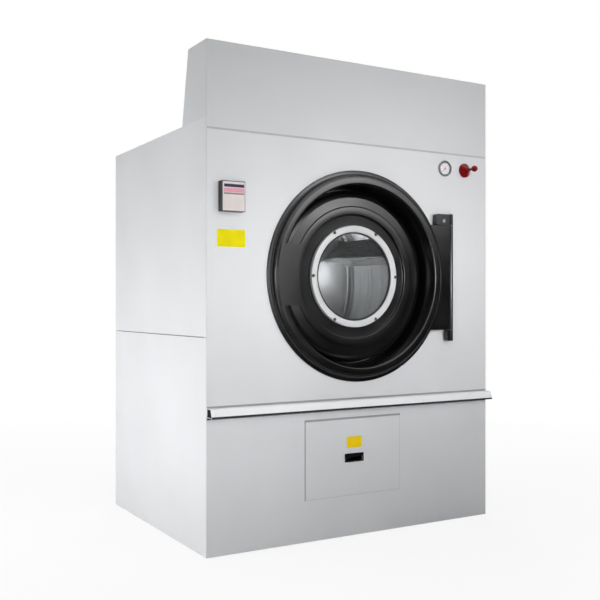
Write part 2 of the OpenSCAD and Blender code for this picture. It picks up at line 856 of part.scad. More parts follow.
// The same piece turned about the drum axis
module about_axis(a)
    translate([0, 0, axis_z])
        rotate([0, -a, 0])
            translate([0, 0, -axis_z])
                children();

module window_screws() color("dimgray") from_front()
    for (i = [0 : ring_screws - 1])
        about_axis(i * 360 / ring_screws) {
            rod_y(screw_r - run_fit, seat_front_y - weld, seat_d - fit, screws_r, axis_z);
            rod_y(screw_head_r, seat_front_y - screw_head_r / 2, seat_front_y, screws_r, axis_z);
        }

module window_glass() color("lightblue", 0.4) from_front()
    rod_y(rebate_r - fit, seat_d - glass_t, seat_d, 0, axis_z);

module door_handle() color("#232325") from_front() {
    fold_y = handle_fold - door_reach;
    intersection() {
        turned(0, axis_z)
            polygon([[handle_inner_r, -door_reach - handle_t], [handle_outer_r, -door_reach - handle_t],
                     [handle_outer_r, -door_reach], [handle_inner_r + handle_t, -door_reach],
                     [handle_inner_r + handle_t, fold_y], [handle_inner_r, fold_y]]);
        block([-flange_r, 0], [-door_reach - 2 * handle_t, fold_y + over],
              [axis_z - handle_h / 2, axis_z + handle_h / 2]);
    }
}

module hinge_plate() color("#2a2a2c") from_front() {
    z = [axis_z - hinge_plate_h / 2, axis_z + hinge_plate_h / 2];
    difference() {
        union() {
            block([sqrt(pow(rim_r, 2) - pow(hinge_plate_h / 2, 2)) - over, hinge_x],
                  [-door_reach, -door_reach + hinge_plate_t], z);
            translate([hinge_x, hinge_y, z[0]])
                cylinder(r = knuckle_r, h = hinge_plate_h);
        }
        rod_y(rim_r, -door_reach - over, 0, 0, axis_z);
        translate([hinge_x, hinge_y, z[0] - over])
            cylinder(r = pin_r + run_fit, h = hinge_plate_h + 2 * over);
    }
}

module hinge_bracket(z, reach)
    difference() {
        union() {
            block([hinge_x - reach, hinge_x + hinge_plate_t / 2], [hinge_y - knuckle_r / 2, 0],
                  [z, z + bracket_h]);
            block([hinge_x - reach, hinge_x + knuckle_r], [-flange_t, 0], [z, z + bracket_h]);
            translate([hinge_x, hinge_y, z])
                cylinder(r = knuckle_r, h = bracket_h);
        }
        translate([hinge_x, hinge_y, z - over])
            cylinder(r = pin_r + run_fit, h = bracket_h + 2 * over);
    }

module hinge_brackets() color("#161618") from_front() {
    hinge_bracket(axis_z + hinge_plate_h / 2 + over, upper_reach);
    hinge_bracket(axis_z - hinge_plate_h / 2 - over - bracket_h, lower_reach);
}

module hinge_pin() color("silver") from_front() {
    head_t = 4;
    z = [axis_z - hinge_plate_h / 2 - over - bracket_h, axis_z + hinge_plate_h / 2 + over + bracket_h];
    translate([hinge_x, hinge_y, z[0]])
        cylinder(r = pin_r, h = z[1] - z[0] + weld);
    translate([hinge_x, hinge_y, z[1]])
        cylinder(r = knuckle_r - over, h = head_t);
}

// Places of the catch magnets round the mouth flange
module catch_places()
    for (i = [0 : catch_magnets - 1])
        about_axis((i + 0.5) * 360 / catch_magnets)
            children();

module door_catch() color("silver") from_front()
    catch_places()
        rod_y(magnet_r - run_fit, -flange_t, magnet_t - flange_t, catch_r, axis_z);

// Drum and drive

module drum_shell() color("lightsteelblue") from_front()
    turned(0, axis_z)
        polygon([[lip_r, drum_front_y], [drum_r, drum_front_y], [drum_r, drum_back_y],
                 [shaft_r, drum_back_y], [shaft_r, drum_back_y - drum_t],
                 [drum_r - drum_t, drum_back_y - drum_t], [drum_r - drum_t, drum_front_y + drum_t],
                 [lip_r + drum_t, drum_front_y + drum_t], [lip_r + drum_t, drum_front_y + lip_d],
                 [lip_r, drum_front_y + lip_d]]);

// One side of a lifter, from its crest to its foot, drawn in by a margin
function lifter_side(margin, foot_x) =
    let (foot = [sqrt(pow(drum_r - drum_t, 2) - pow(lifter_w / 2, 2)), lifter_w / 2],
         crest_x = drum_r - drum_t - lifter_h + lifter_crest_r, edge = atan2(foot[1], foot[0] - crest_x)
                - asin(lifter_crest_r / norm([foot[0] - crest_x, foot[1]])),
         out = [-sin(edge), cos(edge)], run = foot - [crest_x, 0] - lifter_crest_r * out,
         start = [crest_x, 0] + (lifter_crest_r - margin) * out)
    [start, start + run * (foot_x - start[0]) / run[0]];

module lifter_outline(margin, foot_x) {
    side = lifter_side(margin, foot_x);
    polygon(concat(side, [for (p = [side[1], side[0]]) [p[0], -p[1]]]));
    translate([drum_r - drum_t - lifter_h + lifter_crest_r, 0])
        circle(r = lifter_crest_r - margin);
}

module drum_lifters() color("lightsteelblue") from_front() {
    foot_x = sqrt(pow(drum_r - drum_t, 2) - pow(lifter_w / 2, 2));
    for (i = [0 : lifter_count - 1])
        about_axis(lifter_angle + i * 360 / lifter_count)
            slab_y(drum_front_y + lifter_gap, drum_back_y - drum_t)
                translate([0, axis_z])
                    difference() {
                        lifter_outline(0, foot_x);
                        lifter_outline(drum_t, foot_x + over);
                    }
}

module drum_spider() color("slategray") from_front() {
    arm_end = drum_r - 4 * drum_t;
    hole_r = spider_tip_w / 3;
    for (i = [0 : spider_arms - 1])
        about_axis(lifter_angle + i * 360 / spider_arms)
            slab_y(drum_back_y + run_fit, drum_back_y + spider_arm_t)
                translate([0, axis_z])
                    difference() {
                        polygon([[spider_hub_r / 2, -spider_arm_w / 2], [arm_end, -spider_tip_w / 2],
                                 [arm_end, spider_tip_w / 2], [spider_hub_r / 2, spider_arm_w / 2]]);
                        for (place = [0.45, 0.75])
                            translate([arm_end * place, 0])
                                circle(r = hole_r);
                    }
    rod_y(spider_hub_r, drum_back_y + run_fit, drum_back_y + spider_l, 0, axis_z);
    rod_y(shaft_r - run_fit, drum_back_y - drum_t, pulley_y + pulley_w + pulley_gap, 0, axis_z);
    rod_y(shaft_end_r, pulley_y, rear_post_y + tube_w + drum_t, 0, axis_z);
}

module bearing_block(y, bore) {
    foot_x = housing_r + tube_w;
    web_x = 0.75 * housing_r;
    difference() {
        union() {
            rod_y(housing_r, y + over, y + tube_w - over, 0, axis_z);
            block([-foot_x, foot_x], [y + over, y + tube_w - over],
                  [beam_top_z, beam_top_z + housing_foot_t]);
            block([-web_x, web_x], [y + over, y + tube_w - over], [beam_top_z, axis_z]);
        }
        rod_y(bore, y - over, y + tube_w + over, 0, axis_z);
    }
}

module bearing_blocks() color("darkslategray") from_front() {
    bearing_block(mid_post_y, shaft_r);
    bearing_block(rear_post_y, shaft_end_r + run_fit);
}

module drum_pulley() color("dimgray") from_front() {
    hub_r = 1.7 * shaft_r;
    rim_inner_r = drum_pulley_r - 22;
    edge_r = drum_pulley_r + belt_t + 3;
    web_y = [belt_mid_y - 6, belt_mid_y + 6];
    back_y = pulley_y + pulley_w;
    difference() {
        turned(0, axis_z)
            polygon([[shaft_r, pulley_y], [hub_r, pulley_y], [hub_r, web_y[0]],
                     [rim_inner_r, web_y[0]], [rim_inner_r, pulley_y], [edge_r, pulley_y],
                     [edge_r, pulley_y + pulley_flange_t - over],
                     [drum_pulley_r, pulley_y + pulley_flange_t],
                     [drum_pulley_r, back_y - pulley_flange_t],
                     [edge_r, back_y - pulley_flange_t + over], [edge_r, back_y],
                     [rim_inner_r, back_y], [rim_inner_r, web_y[1]], [hub_r, web_y[1]],
                     [hub_r, back_y], [shaft_r, back_y]]);
        for (i = [0 : pulley_holes - 1])
            about_axis(i * 360 / pulley_holes)
                rod_y(0.16 * drum_pulley_r, pulley_y, back_y, (hub_r + rim_inner_r) / 2, axis_z);
    }
}

module drive_pulley() color("dimgray") from_front() {
    grooves = 6;
    groove_d = 2.5;
    pitch = belt_w / grooves;
    edge_r = small_pulley_r + belt_t + 2;
    y = [pulley_y + 2, pulley_y + pulley_w - 2];
    turned(drive_x, drive_z)
        polygon(concat([[0, y[0]], [edge_r, y[0]], [edge_r, belt_y - fit]], [for (i = [0 : grooves - 1])
                           each [[small_pulley_r, belt_y + i * pitch],
                                 [small_pulley_r - groove_d, belt_y + (i + 0.5) * pitch]]],
                       [[small_pulley_r, belt_y + belt_w], [edge_r, belt_y + belt_w + fit],
                        [edge_r, y[1]], [0, y[1]]]));
    rod_y(output_r, gearbox_y + 20, y[0] + over, drive_x, drive_z);
}

module belt_loop(extra)
    hull() {
        translate([0, axis_z])
            circle(r = drum_pulley_r + extra);
        translate([drive_x, drive_z])
            circle(r = small_pulley_r + extra);
    }

module drive_belt() color("#202020") from_front()
    slab_y(belt_y, belt_y + belt_w)
        difference() {
            belt_loop(fit + belt_t);
            belt_loop(fit);
        }

module gearbox() color("steelblue") from_front() {
    half = gearbox_w / 2;
    y = [gearbox_y, gearbox_back_y - collar_d];
    difference() {
        union() {
            block([drive_x - half, drive_x + half], y, [drive_z - half, drive_z + 0.6 * half]);
            rod_y(half, y[0], y[1], drive_x, drive_z);
            rod_y(0.6 * half, y[1] - weld, gearbox_back_y, drive_x, drive_z);
            rod_x(0.8 * motor_r, drive_x + 0.7 * half, drive_x + half + motor_flange_t,
                  (y[0] + y[1]) / 2, drive_z);
        }
        rod_y(output_r + run_fit, gearbox_y + 18, gearbox_back_y + over, drive_x, drive_z);
    }
}

module drive_motor() color("steelblue") from_front() {
    x = drive_x + gearbox_w / 2 + motor_flange_t;
    y = (gearbox_y + gearbox_back_y - collar_d) / 2;
    end_x = x + motor_l;
    cap_l = 46;
    rod_x(motor_r, x, x + motor_flange_t, y, drive_z);
    rod_x(motor_r - fin_h, x + motor_flange_t - weld, end_x - cap_l + over, y, drive_z);
    for (a = [0 : 20 : 340])
        translate([x + motor_flange_t - weld, y, drive_z])
            rotate([a, 0, 0])
                block([0, motor_l - cap_l - motor_flange_t], [-fin_t / 2, fin_t / 2],
                      [motor_r - fin_h - fin_t, motor_r - fin_t]);
    rod_x(motor_r - 2, end_x - cap_l, end_x, y, drive_z);
    block([x + 40, x + 120], [y - 35, y + 35], [drive_z + motor_r - 20, drive_z + motor_r + 30]);
}

module motor_stands() color("dimgray") from_front() {
    foot_x = motor_r + 2;
    back_y = mid_post_y + tube_w;
    stand([drive_x - gearbox_w / 2, drive_x + gearbox_w / 2], [gearbox_y, back_y],
          drive_z - gearbox_w / 2);
    stand([fan_x - foot_x, fan_x + foot_x],
          [fan_foot_y[0] - 4, max(fan_foot_y[1], back_y)], fan_z - motor_r - 6);
}

module stand(x, y, top_z) {
    plate_t = 6;
    top_t = 8;
    block(x, y, [base_h, base_h + plate_t]);
    for (side_x = [x[0], x[1] - plate_t])
        block([side_x, side_x + plate_t], y, [base_h + plate_t - weld, top_z - top_t + weld]);
    block(x, y, [top_z - top_t, top_z]);
}

// Lint chamber and drawer

module lint_shelf() color("lightgray") from_front()
    difference() {
        union() {
            block([-frame_inner_x, frame_inner_x], [inset, bulkhead_y + sheet_t],
                  [shelf_z - sheet_t, shelf_z]);
            block([-frame_x, frame_x], [inset + tube_w, bulkhead_y], [shelf_z - sheet_t, shelf_z]);
        }
        block([drawer_x - chamber_x, drawer_x + chamber_x], [inset + tube_w, baffle_y],
              [shelf_z - sheet_t - over, shelf_z + over]);
    }

module lint_chamber() color("lightgray") from_front() {
    x = [drawer_x - chamber_x, drawer_x + chamber_x];
    y = [inset, chamber_back_y];
    top_z = shelf_z - sheet_t;
    difference() {
        union() {
            difference() {
                block([x[0] - sheet_t, x[1] + sheet_t], y, [chamber_z, top_z]);
                block(x, [y[0] - over, y[1] - sheet_t], [chamber_z + sheet_t, top_z + over]);
            }
            block([x[0] - weld, x[1] + weld], [inset, inset + sheet_t],
                  [chamber_z, drawer_z - sheet_t]);
            block([x[0] - weld, x[1] + weld], [baffle_y, baffle_y + sheet_t],
                  [tray_top_z + 2 * sheet_t, top_z]);
        }
        block([x[0] - sheet_t - over, x[1] + sheet_t + over], [0, inset + tube_w],
              [shelf_rail_z, top_z + over]);
        rod_y(inlet_r, chamber_back_y - sheet_t - over, chamber_back_y + over, fan_x, fan_z);
    }
    drawer_runners();
}

// The two shelves in the chamber that the rim of the tray slides on
module drawer_runners() {
    top_z = tray_top_z - sheet_t - fit;
    y = [inset, tray_back_y - over];
    for (side = [0, 1])
        translate([drawer_x, 0, 0])
            mirror([side, 0, 0]) {
                block([tray_x + 2 * sheet_t, chamber_x + weld], y, [top_z - sheet_t, top_z]);
                block([chamber_x - 2 * sheet_t, chamber_x + weld], y, [top_z - fold_w, top_z - weld]);
            }
}

module drawer_front() color("gainsboro") from_front() {
    half = drawer_w / 2 - drawer_gap;
    pull_x = pull_w / 2 - pull_edge;
    difference() {
        front_pan([drawer_x - half, drawer_x + half], [drawer_z + drawer_gap, drawer_top_z - drawer_gap],
                  0, drawer_front_d);
        block([drawer_x - pull_x, drawer_x + pull_x], [-over, sheet_t + over],
              [pull_z + pull_edge, pull_z + pull_h - pull_edge]);
    }
}

module drawer_pull() color("black") from_front() {
    face_t = 3;
    cup_d = 15;
    margin = pull_edge + fit;
    x = [drawer_x - pull_w / 2, drawer_x + pull_w / 2];
    z = [pull_z, pull_z + pull_h];
    difference() {
        union() {
            block(x, [-face_t, 0], z);
            block([x[0] + margin, x[1] - margin], [-weld, cup_d + sheet_t],
                  [z[0] + margin, z[1] - margin]);
        }
        block([x[0] + pull_wall, x[1] - pull_wall], [-face_t - over, cup_d],
              [z[0] + pull_wall, z[1] - pull_wall]);
    }
}

module drawer_tray() color("silver") from_front() {
    rim_w = 20;
    x = [drawer_x - tray_x, drawer_x + tray_x];
    y = [drawer_front_d, tray_back_y];
    difference() {
        union() {
            block(x, y, [tray_z, tray_top_z]);
            block([drawer_x - tray_rim_x, drawer_x + tray_rim_x], y, [tray_top_z - sheet_t, tray_top_z]);
            for (side_x = [x[0], x[1] - sheet_t])
                block([side_x, side_x + sheet_t], [sheet_t, y[0] + weld], [tray_z, tray_top_z]);
        }
        block([x[0] + sheet_t, x[1] - sheet_t], [y[0] + sheet_t, y[1] - sheet_t],
              [tray_z + sheet_t, tray_top_z + over]);
        block([x[0] + rim_w, x[1] - rim_w], [y[0] + rim_w, y[1] - rim_w], [tray_z - over, tray_top_z]);
    }
}

module lint_screen() color("gray") from_front() {
    screen_t = 4;
    gap = sheet_t + over;
    x = [drawer_x - tray_x + gap, drawer_x + tray_x - gap];
    y = [drawer_front_d + gap, tray_back_y - gap];
    step_x = (x[1] - x[0] - 2 * screen_border + screen_bar) / screen_cells;
    step_y = (y[1] - y[0] - 2 * screen_border + screen_bar) / screen_cells;
    start = [x[0] + screen_border, y[0] + screen_border];
    difference() {
        block(x, y, [tray_z + sheet_t, tray_z + sheet_t + screen_t]);
        for (i = [0 : screen_cells - 1])
            for (j = [0 : screen_cells - 1])
                block([start[0] + i * step_x, start[0] + (i + 1) * step_x - screen_bar],
                      [start[1] + j * step_y, start[1] + (j + 1) * step_y - screen_bar],
                      [tray_z, tray_z + sheet_t + screen_t + over]);
    }
}

// Fan and exhaust

module fan_housing() color("lightgray") from_front() {
    y = [scroll_y, scroll_back_y];
    neck_r = [inlet_r - 6, inlet_r - 2, inlet_r + 20];
    difference() {
        slab_y(y[0], y[1])
            translate([fan_x, fan_z])
                polygon(scroll_outline(0, outlet_x));
        slab_y(y[0] + sheet_t, y[1] - sheet_t)
            translate([fan_x, fan_z])
                polygon(scroll_outline(sheet_t, outlet_x - over));
        rod_y(neck_r[1], y[0] - over, y[0] + sheet_t + over, fan_x, fan_z);
        rod_y(fan_shaft_r + 8, y[1] - sheet_t - over, y[1] + over, fan_x, fan_z);
    }
    turned(fan_x, fan_z)
        polygon([[neck_r[0], chamber_back_y - 2 * sheet_t], [neck_r[1], chamber_back_y - 2 * sheet_t],
                 [neck_r[1], chamber_back_y + fit], [neck_r[2], chamber_back_y + fit],
                 [neck_r[2], y[0] + weld], [neck_r[0], y[0] + weld]]);
}

module fan_impeller() color("silver") from_front() {
    start_y = scroll_y + 22;
    disc_t = 3;
    hub_r = 32;
    eye_r = impeller_r - 62;
    shroud_d = 10;
    blade_t = 2.5;
    blade_r = impeller_r * 0.75;
    blade_turn = 66;
    blade_sweep = 42;
    translate([fan_x, start_y, fan_z])
        rotate([-90, 0, 0]) {
            rotate_extrude()
                polygon([[0, impeller_w - disc_t], [impeller_r, impeller_w - disc_t],
                         [impeller_r, impeller_w], [hub_r, impeller_w],
                         [hub_r, impeller_w + 4 * disc_t], [0, impeller_w + 4 * disc_t]]);
            rotate_extrude()
                polygon([[eye_r, 0], [eye_r + 2, 0], [impeller_r, shroud_d],
                         [impeller_r, shroud_d + disc_t], [eye_r, disc_t]]);
            cylinder(r = hub_r, h = impeller_w - disc_t + weld);
            cylinder(r = fan_shaft_r, h = fan_foot_y[0] + hub_r - start_y);
            for (i = [0 : blade_count - 1])
                rotate([0, 0, i * 360 / blade_count])
                    translate([impeller_r * 0.52, -blade_r * 0.84, disc_t - over])
                        rotate([0, 0, blade_turn])
                            rotate_extrude(angle = blade_sweep)
                                translate([blade_r, 0])
                                    square([blade_t, impeller_w - disc_t - over]);
        }
}

module fan_motor() color("steelblue") from_front() {
    y = fan_motor_y;
    end_y = y + fan_motor_l;
    cap_l = 50;
    foot_x = 60;
    difference() {
        union() {
            rod_y(motor_r + 6, scroll_back_y, y, fan_x, fan_z);
            rod_y(motor_r - fin_h, y - weld, end_y - cap_l + over, fan_x, fan_z);
            rod_y(motor_r - 2, end_y - cap_l, end_y, fan_x, fan_z);
            for (a = [0 : 20 : 340])
                translate([fan_x, y - weld, fan_z])
                    rotate([0, a, 0])
                        block([-fin_t / 2, fin_t / 2], [0, fan_motor_l - cap_l + over],
                              [motor_r - fin_h - fin_t, motor_r - fin_t]);
            block([fan_x - foot_x, fan_x + foot_x], fan_foot_y,
                  [fan_z - motor_r - 6, fan_z - motor_r + 24]);
        }
        rod_y(fan_shaft_r + run_fit, scroll_back_y - over, y + 70, fan_x, fan_z);
    }
}

module exhaust_duct() color("lightgray") from_front() {
    x = [duct_right_x - duct_w - sheet_t, duct_right_x];
    z = [spigot_z - spigot_r - duct_margin, duct_top_z];
    y = [scroll_y, duct_back_y];
    difference() {
        block(x, y, z);
        block([x[0] + sheet_t, x[1] - sheet_t], [y[0] + sheet_t, y[1] - sheet_t],
              [z[0] + sheet_t, z[1] - sheet_t]);
        block([x[1] - sheet_t - over, x[1] + over], [scroll_y + sheet_t, scroll_back_y - sheet_t],
              [fan_z + scroll_r * sin(scroll_start) + sheet_t, fan_z + scroll_r + scroll_growth - sheet_t]);
        rod_y(spigot_r - sheet_t, y[1] - sheet_t - over, y[1] + over, spigot_x, spigot_z);
    }
}

// Its foot is drawn in, so that a duct slides over the whole of the tube behind it
module exhaust_spigot() color("silver") from_front()
    difference() {
        union() {
            rod_y(spigot_r, cabinet_d, cabinet_d + spigot_l, spigot_x, spigot_z);
            rod_y(spigot_r - sheet_t / 2, duct_back_y, cabinet_d + over, spigot_x, spigot_z);
        }
        rod_y(spigot_r - sheet_t, duct_back_y - over, cabinet_d + spigot_l + over, spigot_x, spigot_z);
    }

// Heater on the roof

module heater_casing() color("silver") from_front() {
    x = [-heater_w / 2, heater_w / 2];
    y = [heater_y, heater_back_y];
    z = [cabinet_h, cabinet_h + heater_h];
    difference() {
        block(x, y, z);
        block([x[0] + sheet_t, x[1] - sheet_t], [y[0] + sheet_t, y[1] - sheet_t],
              [z[0] - over, z[1] - sheet_t]);
        block([x[0] + casing_border, x[1] - casing_border], [y[1] - sheet_t - over, y[1] + over],
              [z[0] + casing_border, z[1] - casing_border]);
        for (i = [0, 1])
            rod_x(steam_bore_r + steam_pipe_t + fit, x[1] - sheet_t - over, x[1] + over, steam_y,
                  steam_z(i));
    }
}

// Height of the lower and the upper steam pipe
function steam_z(i) = cabinet_h + steam_margin + i * (heater_h - 2 * steam_margin);

module intake_louvre() color("gray") from_front() {
    border = 14;
    depth = 12;
    margin = 30;
    rise = 16;
    slat_t = 2.5;
    x = [margin - heater_w / 2, heater_w / 2 - margin];
    y = [heater_back_y, heater_back_y + depth];
    z = [cabinet_h + margin, cabinet_h + heater_h - margin];
    difference() {
        block(x, y, z);
        block([x[0] + border, x[1] - border], [y[0] - over, y[1] + over],
              [z[0] + border, z[1] - border]);
    }
    for (slat_z = [z[0] + border + 8 : slat_pitch : z[1] - border - rise - slat_t])
        slab_x(x[0] + border - weld, x[1] - border + weld)
            polygon([[y[0] + over, slat_z + rise], [y[0] + over, slat_z + rise + slat_t],
                     [y[1] - over, slat_z + slat_t], [y[1] - over, slat_z]]);
}

module heater_coil() color("peru") from_front() {
    x = [sheet_t - heater_w / 2, heater_w / 2 - sheet_t];
    z = [cabinet_h, cabinet_h + heater_h - sheet_t - fit];
    plate_t = 6;
    fin_sheet_t = 1.5;
    header_box_w = 25;
    fin_margin = 100;
    fin_pitch = (heater_w - 2 * fin_margin) / (fin_count - 1);
    for (plate_x = [x[0] + casing_border, x[1] - casing_border - plate_t])
        difference() {
            block([plate_x, plate_x + plate_t], [coil_y, coil_y + coil_d], z);
            coil_places()
                rod_x(coil_tube_r - weld, plate_x - over, plate_x + plate_t + over, 0, 0);
        }
    coil_places()
        difference() {
            rod_x(coil_tube_r, x[0] + header_box_w, x[1] - header_box_w, 0, 0);
            rod_x(coil_tube_r - 3, x[0] + header_box_w - over, x[1] - header_box_w + over, 0, 0);
        }
    for (i = [0 : fin_count - 1])
        let (fin_x = fin_margin - heater_w / 2 + i * fin_pitch)
            difference() {
                block([fin_x, fin_x + fin_sheet_t], [coil_y + 4, coil_y + coil_d - 4],
                      [z[0] + 20, z[1] - 12]);
                coil_places()
                    rod_x(coil_tube_r - weld, fin_x - over, fin_x + fin_sheet_t + over, 0, 0);
            }
    for (box_x = [x[0] + fit, x[1] - header_box_w - fit])
        difference() {
            block([box_x, box_x + header_box_w], [coil_y + 8, coil_y + coil_d - 8],
                  [z[0] + 25, z[1] - 15]);
            if (box_x > 0)
                for (i = [0, 1])
                    rod_x(steam_bore_r, box_x + 5, box_x + header_box_w + over, steam_y, steam_z(i));
        }
}

// Places of the tubes of the steam coil, in two columns
module coil_places()
    for (row = [0 : coil_rows - 1])
        for (y = [coil_y + 25, coil_y + coil_d - 25])
            translate([0, y, cabinet_h + 45 + row * (heater_h - 90) / (coil_rows - 1)])
                children();

module steam_pipes() color("dimgray") from_front() {
    flange_x = heater_w / 2 + steam_pipe_l;
    end_x = flange_x + steam_flange_t;
    for (i = [0, 1])
        difference() {
            union() {
                rod_x(steam_bore_r + steam_pipe_t, heater_w / 2 - sheet_t, flange_x, steam_y,
                      steam_z(i));
                rod_x(steam_flange_r, flange_x - weld, end_x, steam_y, steam_z(i));
            }
            rod_x(steam_bore_r, heater_w / 2 - sheet_t - over, end_x + over, steam_y, steam_z(i));
            for (a = [45 : 90 : 315])
                rod_x(steam_bolt_r, flange_x - over, end_x + over, steam_y + steam_circle_r * cos(a),
                      steam_z(i) + steam_circle_r * sin(a));
        }
}

// Controls

module control_box() color("dimgray") from_front() {
    x = [control_x, control_x + control_w];
    z = [control_z, control_z + control_h];
    front_y = 1 - control_reach;
    difference() {
        block(x, [front_y, 0], z);
        block([x[0] + control_wall, x[1] - control_wall], [front_y + control_wall, over],
              [z[0] + control_wall, z[1] - control_wall]);
    }
}

module control_keypad() color("mistyrose") from_front()
    block([control_x + film_margin, control_x + control_w - film_margin],
          [-control_reach, 1 - control_reach],
          [control_z + film_margin, control_z + control_h - film_margin]);

module thermometer_body() color("dimgray") from_front() {
    housing_d = 28;
    nut_d = 8;
    stem_y = 40;
    stem_end_y = 85;
    turned(gauge_x, gauge_z)
        polygon([[0, dial_y], [dial_r, dial_y], [dial_r, 1 - gauge_reach],
                 [dial_r + 2, -gauge_reach], [gauge_r - 3, -gauge_reach],
                 [gauge_r, 3 - gauge_reach], [gauge_r, 0], [socket_r - fit, 0],
                 [socket_r - fit, housing_d], [nut_d, housing_d], [nut_d, housing_d + nut_d],
                 [nut_d / 2, stem_y], [nut_d / 2, stem_end_y], [0, stem_end_y]]);
}

module thermometer_glass() color("lightblue", 0.3) from_front()
    rod_y(dial_r - fit, 1.5 - gauge_reach, 3 - gauge_reach, gauge_x, gauge_z);

module thermometer_needle() color("black") from_front() {
    start_angle = -135;
    needle_y = [dial_y - 3.2, dial_y - 2.4];
    tip_z = dial_r - 4;
    hub_r = 3.5;
    translate([gauge_x, 0, gauge_z])
        rotate([0, start_angle, 0]) {
            slab_y(needle_y[0], needle_y[1])
                polygon([[-2, -2 * hub_r], [2, -2 * hub_r], [0.6, tip_z], [-0.6, tip_z]]);
            rod_y(hub_r, needle_y[0] - weld, dial_y - fit);
        }
}

module stop_base() color("darkred") from_front() {
    cap_y = 7;
    cap_r = norm([base_r, base_reach / 2 + cap_y]);
    neck_d = 30;
    difference() {
        union() {
            intersection() {
                rod_y(base_r, -base_reach, 0, stop_x, gauge_z);
                translate([stop_x, cap_y, gauge_z])
                    sphere(r = cap_r);
            }
            rod_y(stop_stem_r + 4 - fit, -weld, neck_d, stop_x, gauge_z);
        }
        rod_y(stop_stem_r + run_fit, -base_reach - over, neck_d - 10, stop_x, gauge_z);
    }
}

module stop_plunger() color("red") from_front() {
    ball_y = stop_ball_r - stop_reach;
    stem_end_y = 10;
    rod_y(stop_stem_r, ball_y, stem_end_y, stop_x, gauge_z);
    translate([stop_x, ball_y, gauge_z])
        sphere(r = stop_ball_r);
}

module electrical_plate() color("silver") from_front() {
    foot_d = 40;
    rail_edge = 20;
    rail_z = [cabinet_h + 140, cabinet_h + 175];
    block(board_x, [board_y, board_y + sheet_t], [cabinet_h, cabinet_h + header_h - 90]);
    block(board_x, [board_y, board_y + foot_d], [cabinet_h, cabinet_h + sheet_t]);
    block([board_x[0] + rail_edge, board_x[1] - rail_edge],
          [board_y + sheet_t - weld, board_y + sheet_t + 7], rail_z);
}

module contactors() color("black") from_front() {
    spacing = 10;
    notch_d = 20;
    y = [board_y + sheet_t + 7, board_y + sheet_t + 7 + relay_d];
    z = [cabinet_h + 115, cabinet_h + 115 + relay_h];
    for (i = [0 : relay_count - 1])
        let (x = board_x[0] + 40 + i * (relay_w + spacing))
            difference() {
                block([x, x + relay_w], y, z);
                for (notch_z = [[z[0] - over, z[0] + notch_d], [z[1] - notch_d, z[1] + over]])
                    block([x - over, x + relay_w + over], [y[1] - notch_d, y[1] + over], notch_z);
            }
}

module cable_gland() color("black") from_front() {
    nut_t = 8;
    cap_y = [cabinet_d + 12, cabinet_d + 28];
    body_y = [cabinet_d - sheet_t - 14, cabinet_d + 22];
    difference() {
        union() {
            rod_y(gland_bore_r + 5 - fit, body_y[0], body_y[1], gland_x, gland_z);
            for (nut_y = [cabinet_d, cabinet_d - sheet_t - nut_t])
                translate([gland_x, nut_y, gland_z])
                    rotate([-90, 0, 0])
                        cylinder(r = gland_bore_r + 9, h = nut_t, $fn = 6);
            rod_y(gland_bore_r + 7, cap_y[0], cap_y[1], gland_x, gland_z);
        }
        rod_y(gland_bore_r, body_y[0] - over, cap_y[1] + over, gland_x, gland_z);
    }
}

base_frame();
corner_posts();
frame_rails();
side_panels();
rear_panels();
roof_panel();
front_panel();
lower_front_panel();
header_shell();
ledge_rail();
mouth_ring();
rear_bulkhead();
air_baffles();
bearing_beams();
bearing_blocks();
gearbox();
drive_motor();
motor_stands();
drive_belt();
lint_shelf();
lint_chamber();
fan_housing();
fan_motor();
exhaust_duct();
exhaust_spigot();
heater_casing();
heater_coil();
steam_pipes();
intake_louvre();
control_box();
control_keypad();
thermometer_body();
thermometer_glass();
stop_base();
hinge_brackets();
hinge_pin();
electrical_plate();
contactors();
cable_gland();
door_catch();
door_shell();
door_dish();
door_seals();
window_ring();
window_screws();
window_glass();
door_handle();
hinge_plate();
drum_shell();
drum_lifters();
drum_spider();
drum_pulley();
drive_pulley();
fan_impeller();
drawer_front();
drawer_tray();
lint_screen();
drawer_pull();
thermometer_needle();
stop_plunger();
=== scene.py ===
"""Studio scene of a front-loading industrial tumble dryer, built round its packed frame.

Sizes in the classes are millimetres from the front face of the cabinet: x to the right,
y into the machine and z up from the floor. They become metres when a mesh is made. Lamps
and the inputs of the node trees are in metres.
"""
import json
import logging
import math
from dataclasses import dataclass
from enum import Enum
from typing import Sequence

import bmesh
import bpy
from mathutils import Matrix, Vector


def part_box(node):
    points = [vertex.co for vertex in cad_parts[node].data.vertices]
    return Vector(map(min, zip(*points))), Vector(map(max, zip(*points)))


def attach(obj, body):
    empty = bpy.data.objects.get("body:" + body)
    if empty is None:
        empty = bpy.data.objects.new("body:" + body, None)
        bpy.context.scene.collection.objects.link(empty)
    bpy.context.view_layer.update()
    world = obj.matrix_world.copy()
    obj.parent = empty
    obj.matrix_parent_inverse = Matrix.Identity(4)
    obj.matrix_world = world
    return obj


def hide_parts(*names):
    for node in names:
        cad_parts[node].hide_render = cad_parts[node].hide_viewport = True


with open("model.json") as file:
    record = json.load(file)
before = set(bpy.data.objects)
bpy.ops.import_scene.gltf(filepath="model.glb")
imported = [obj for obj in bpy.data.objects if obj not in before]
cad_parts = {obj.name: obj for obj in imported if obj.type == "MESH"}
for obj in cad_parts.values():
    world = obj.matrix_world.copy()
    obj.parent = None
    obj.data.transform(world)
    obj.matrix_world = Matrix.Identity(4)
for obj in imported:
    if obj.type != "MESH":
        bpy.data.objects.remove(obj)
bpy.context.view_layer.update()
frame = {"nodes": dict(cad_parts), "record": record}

log = logging.getLogger("dryer")

MM = 0.001
FRONT_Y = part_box("front_panel")[0].y
AXIS_Z = sum(corner.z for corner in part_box("drum_shell")) / 2 / MM
IMAGE_PX = 600
CLOUDS = (0.3, 0.7)

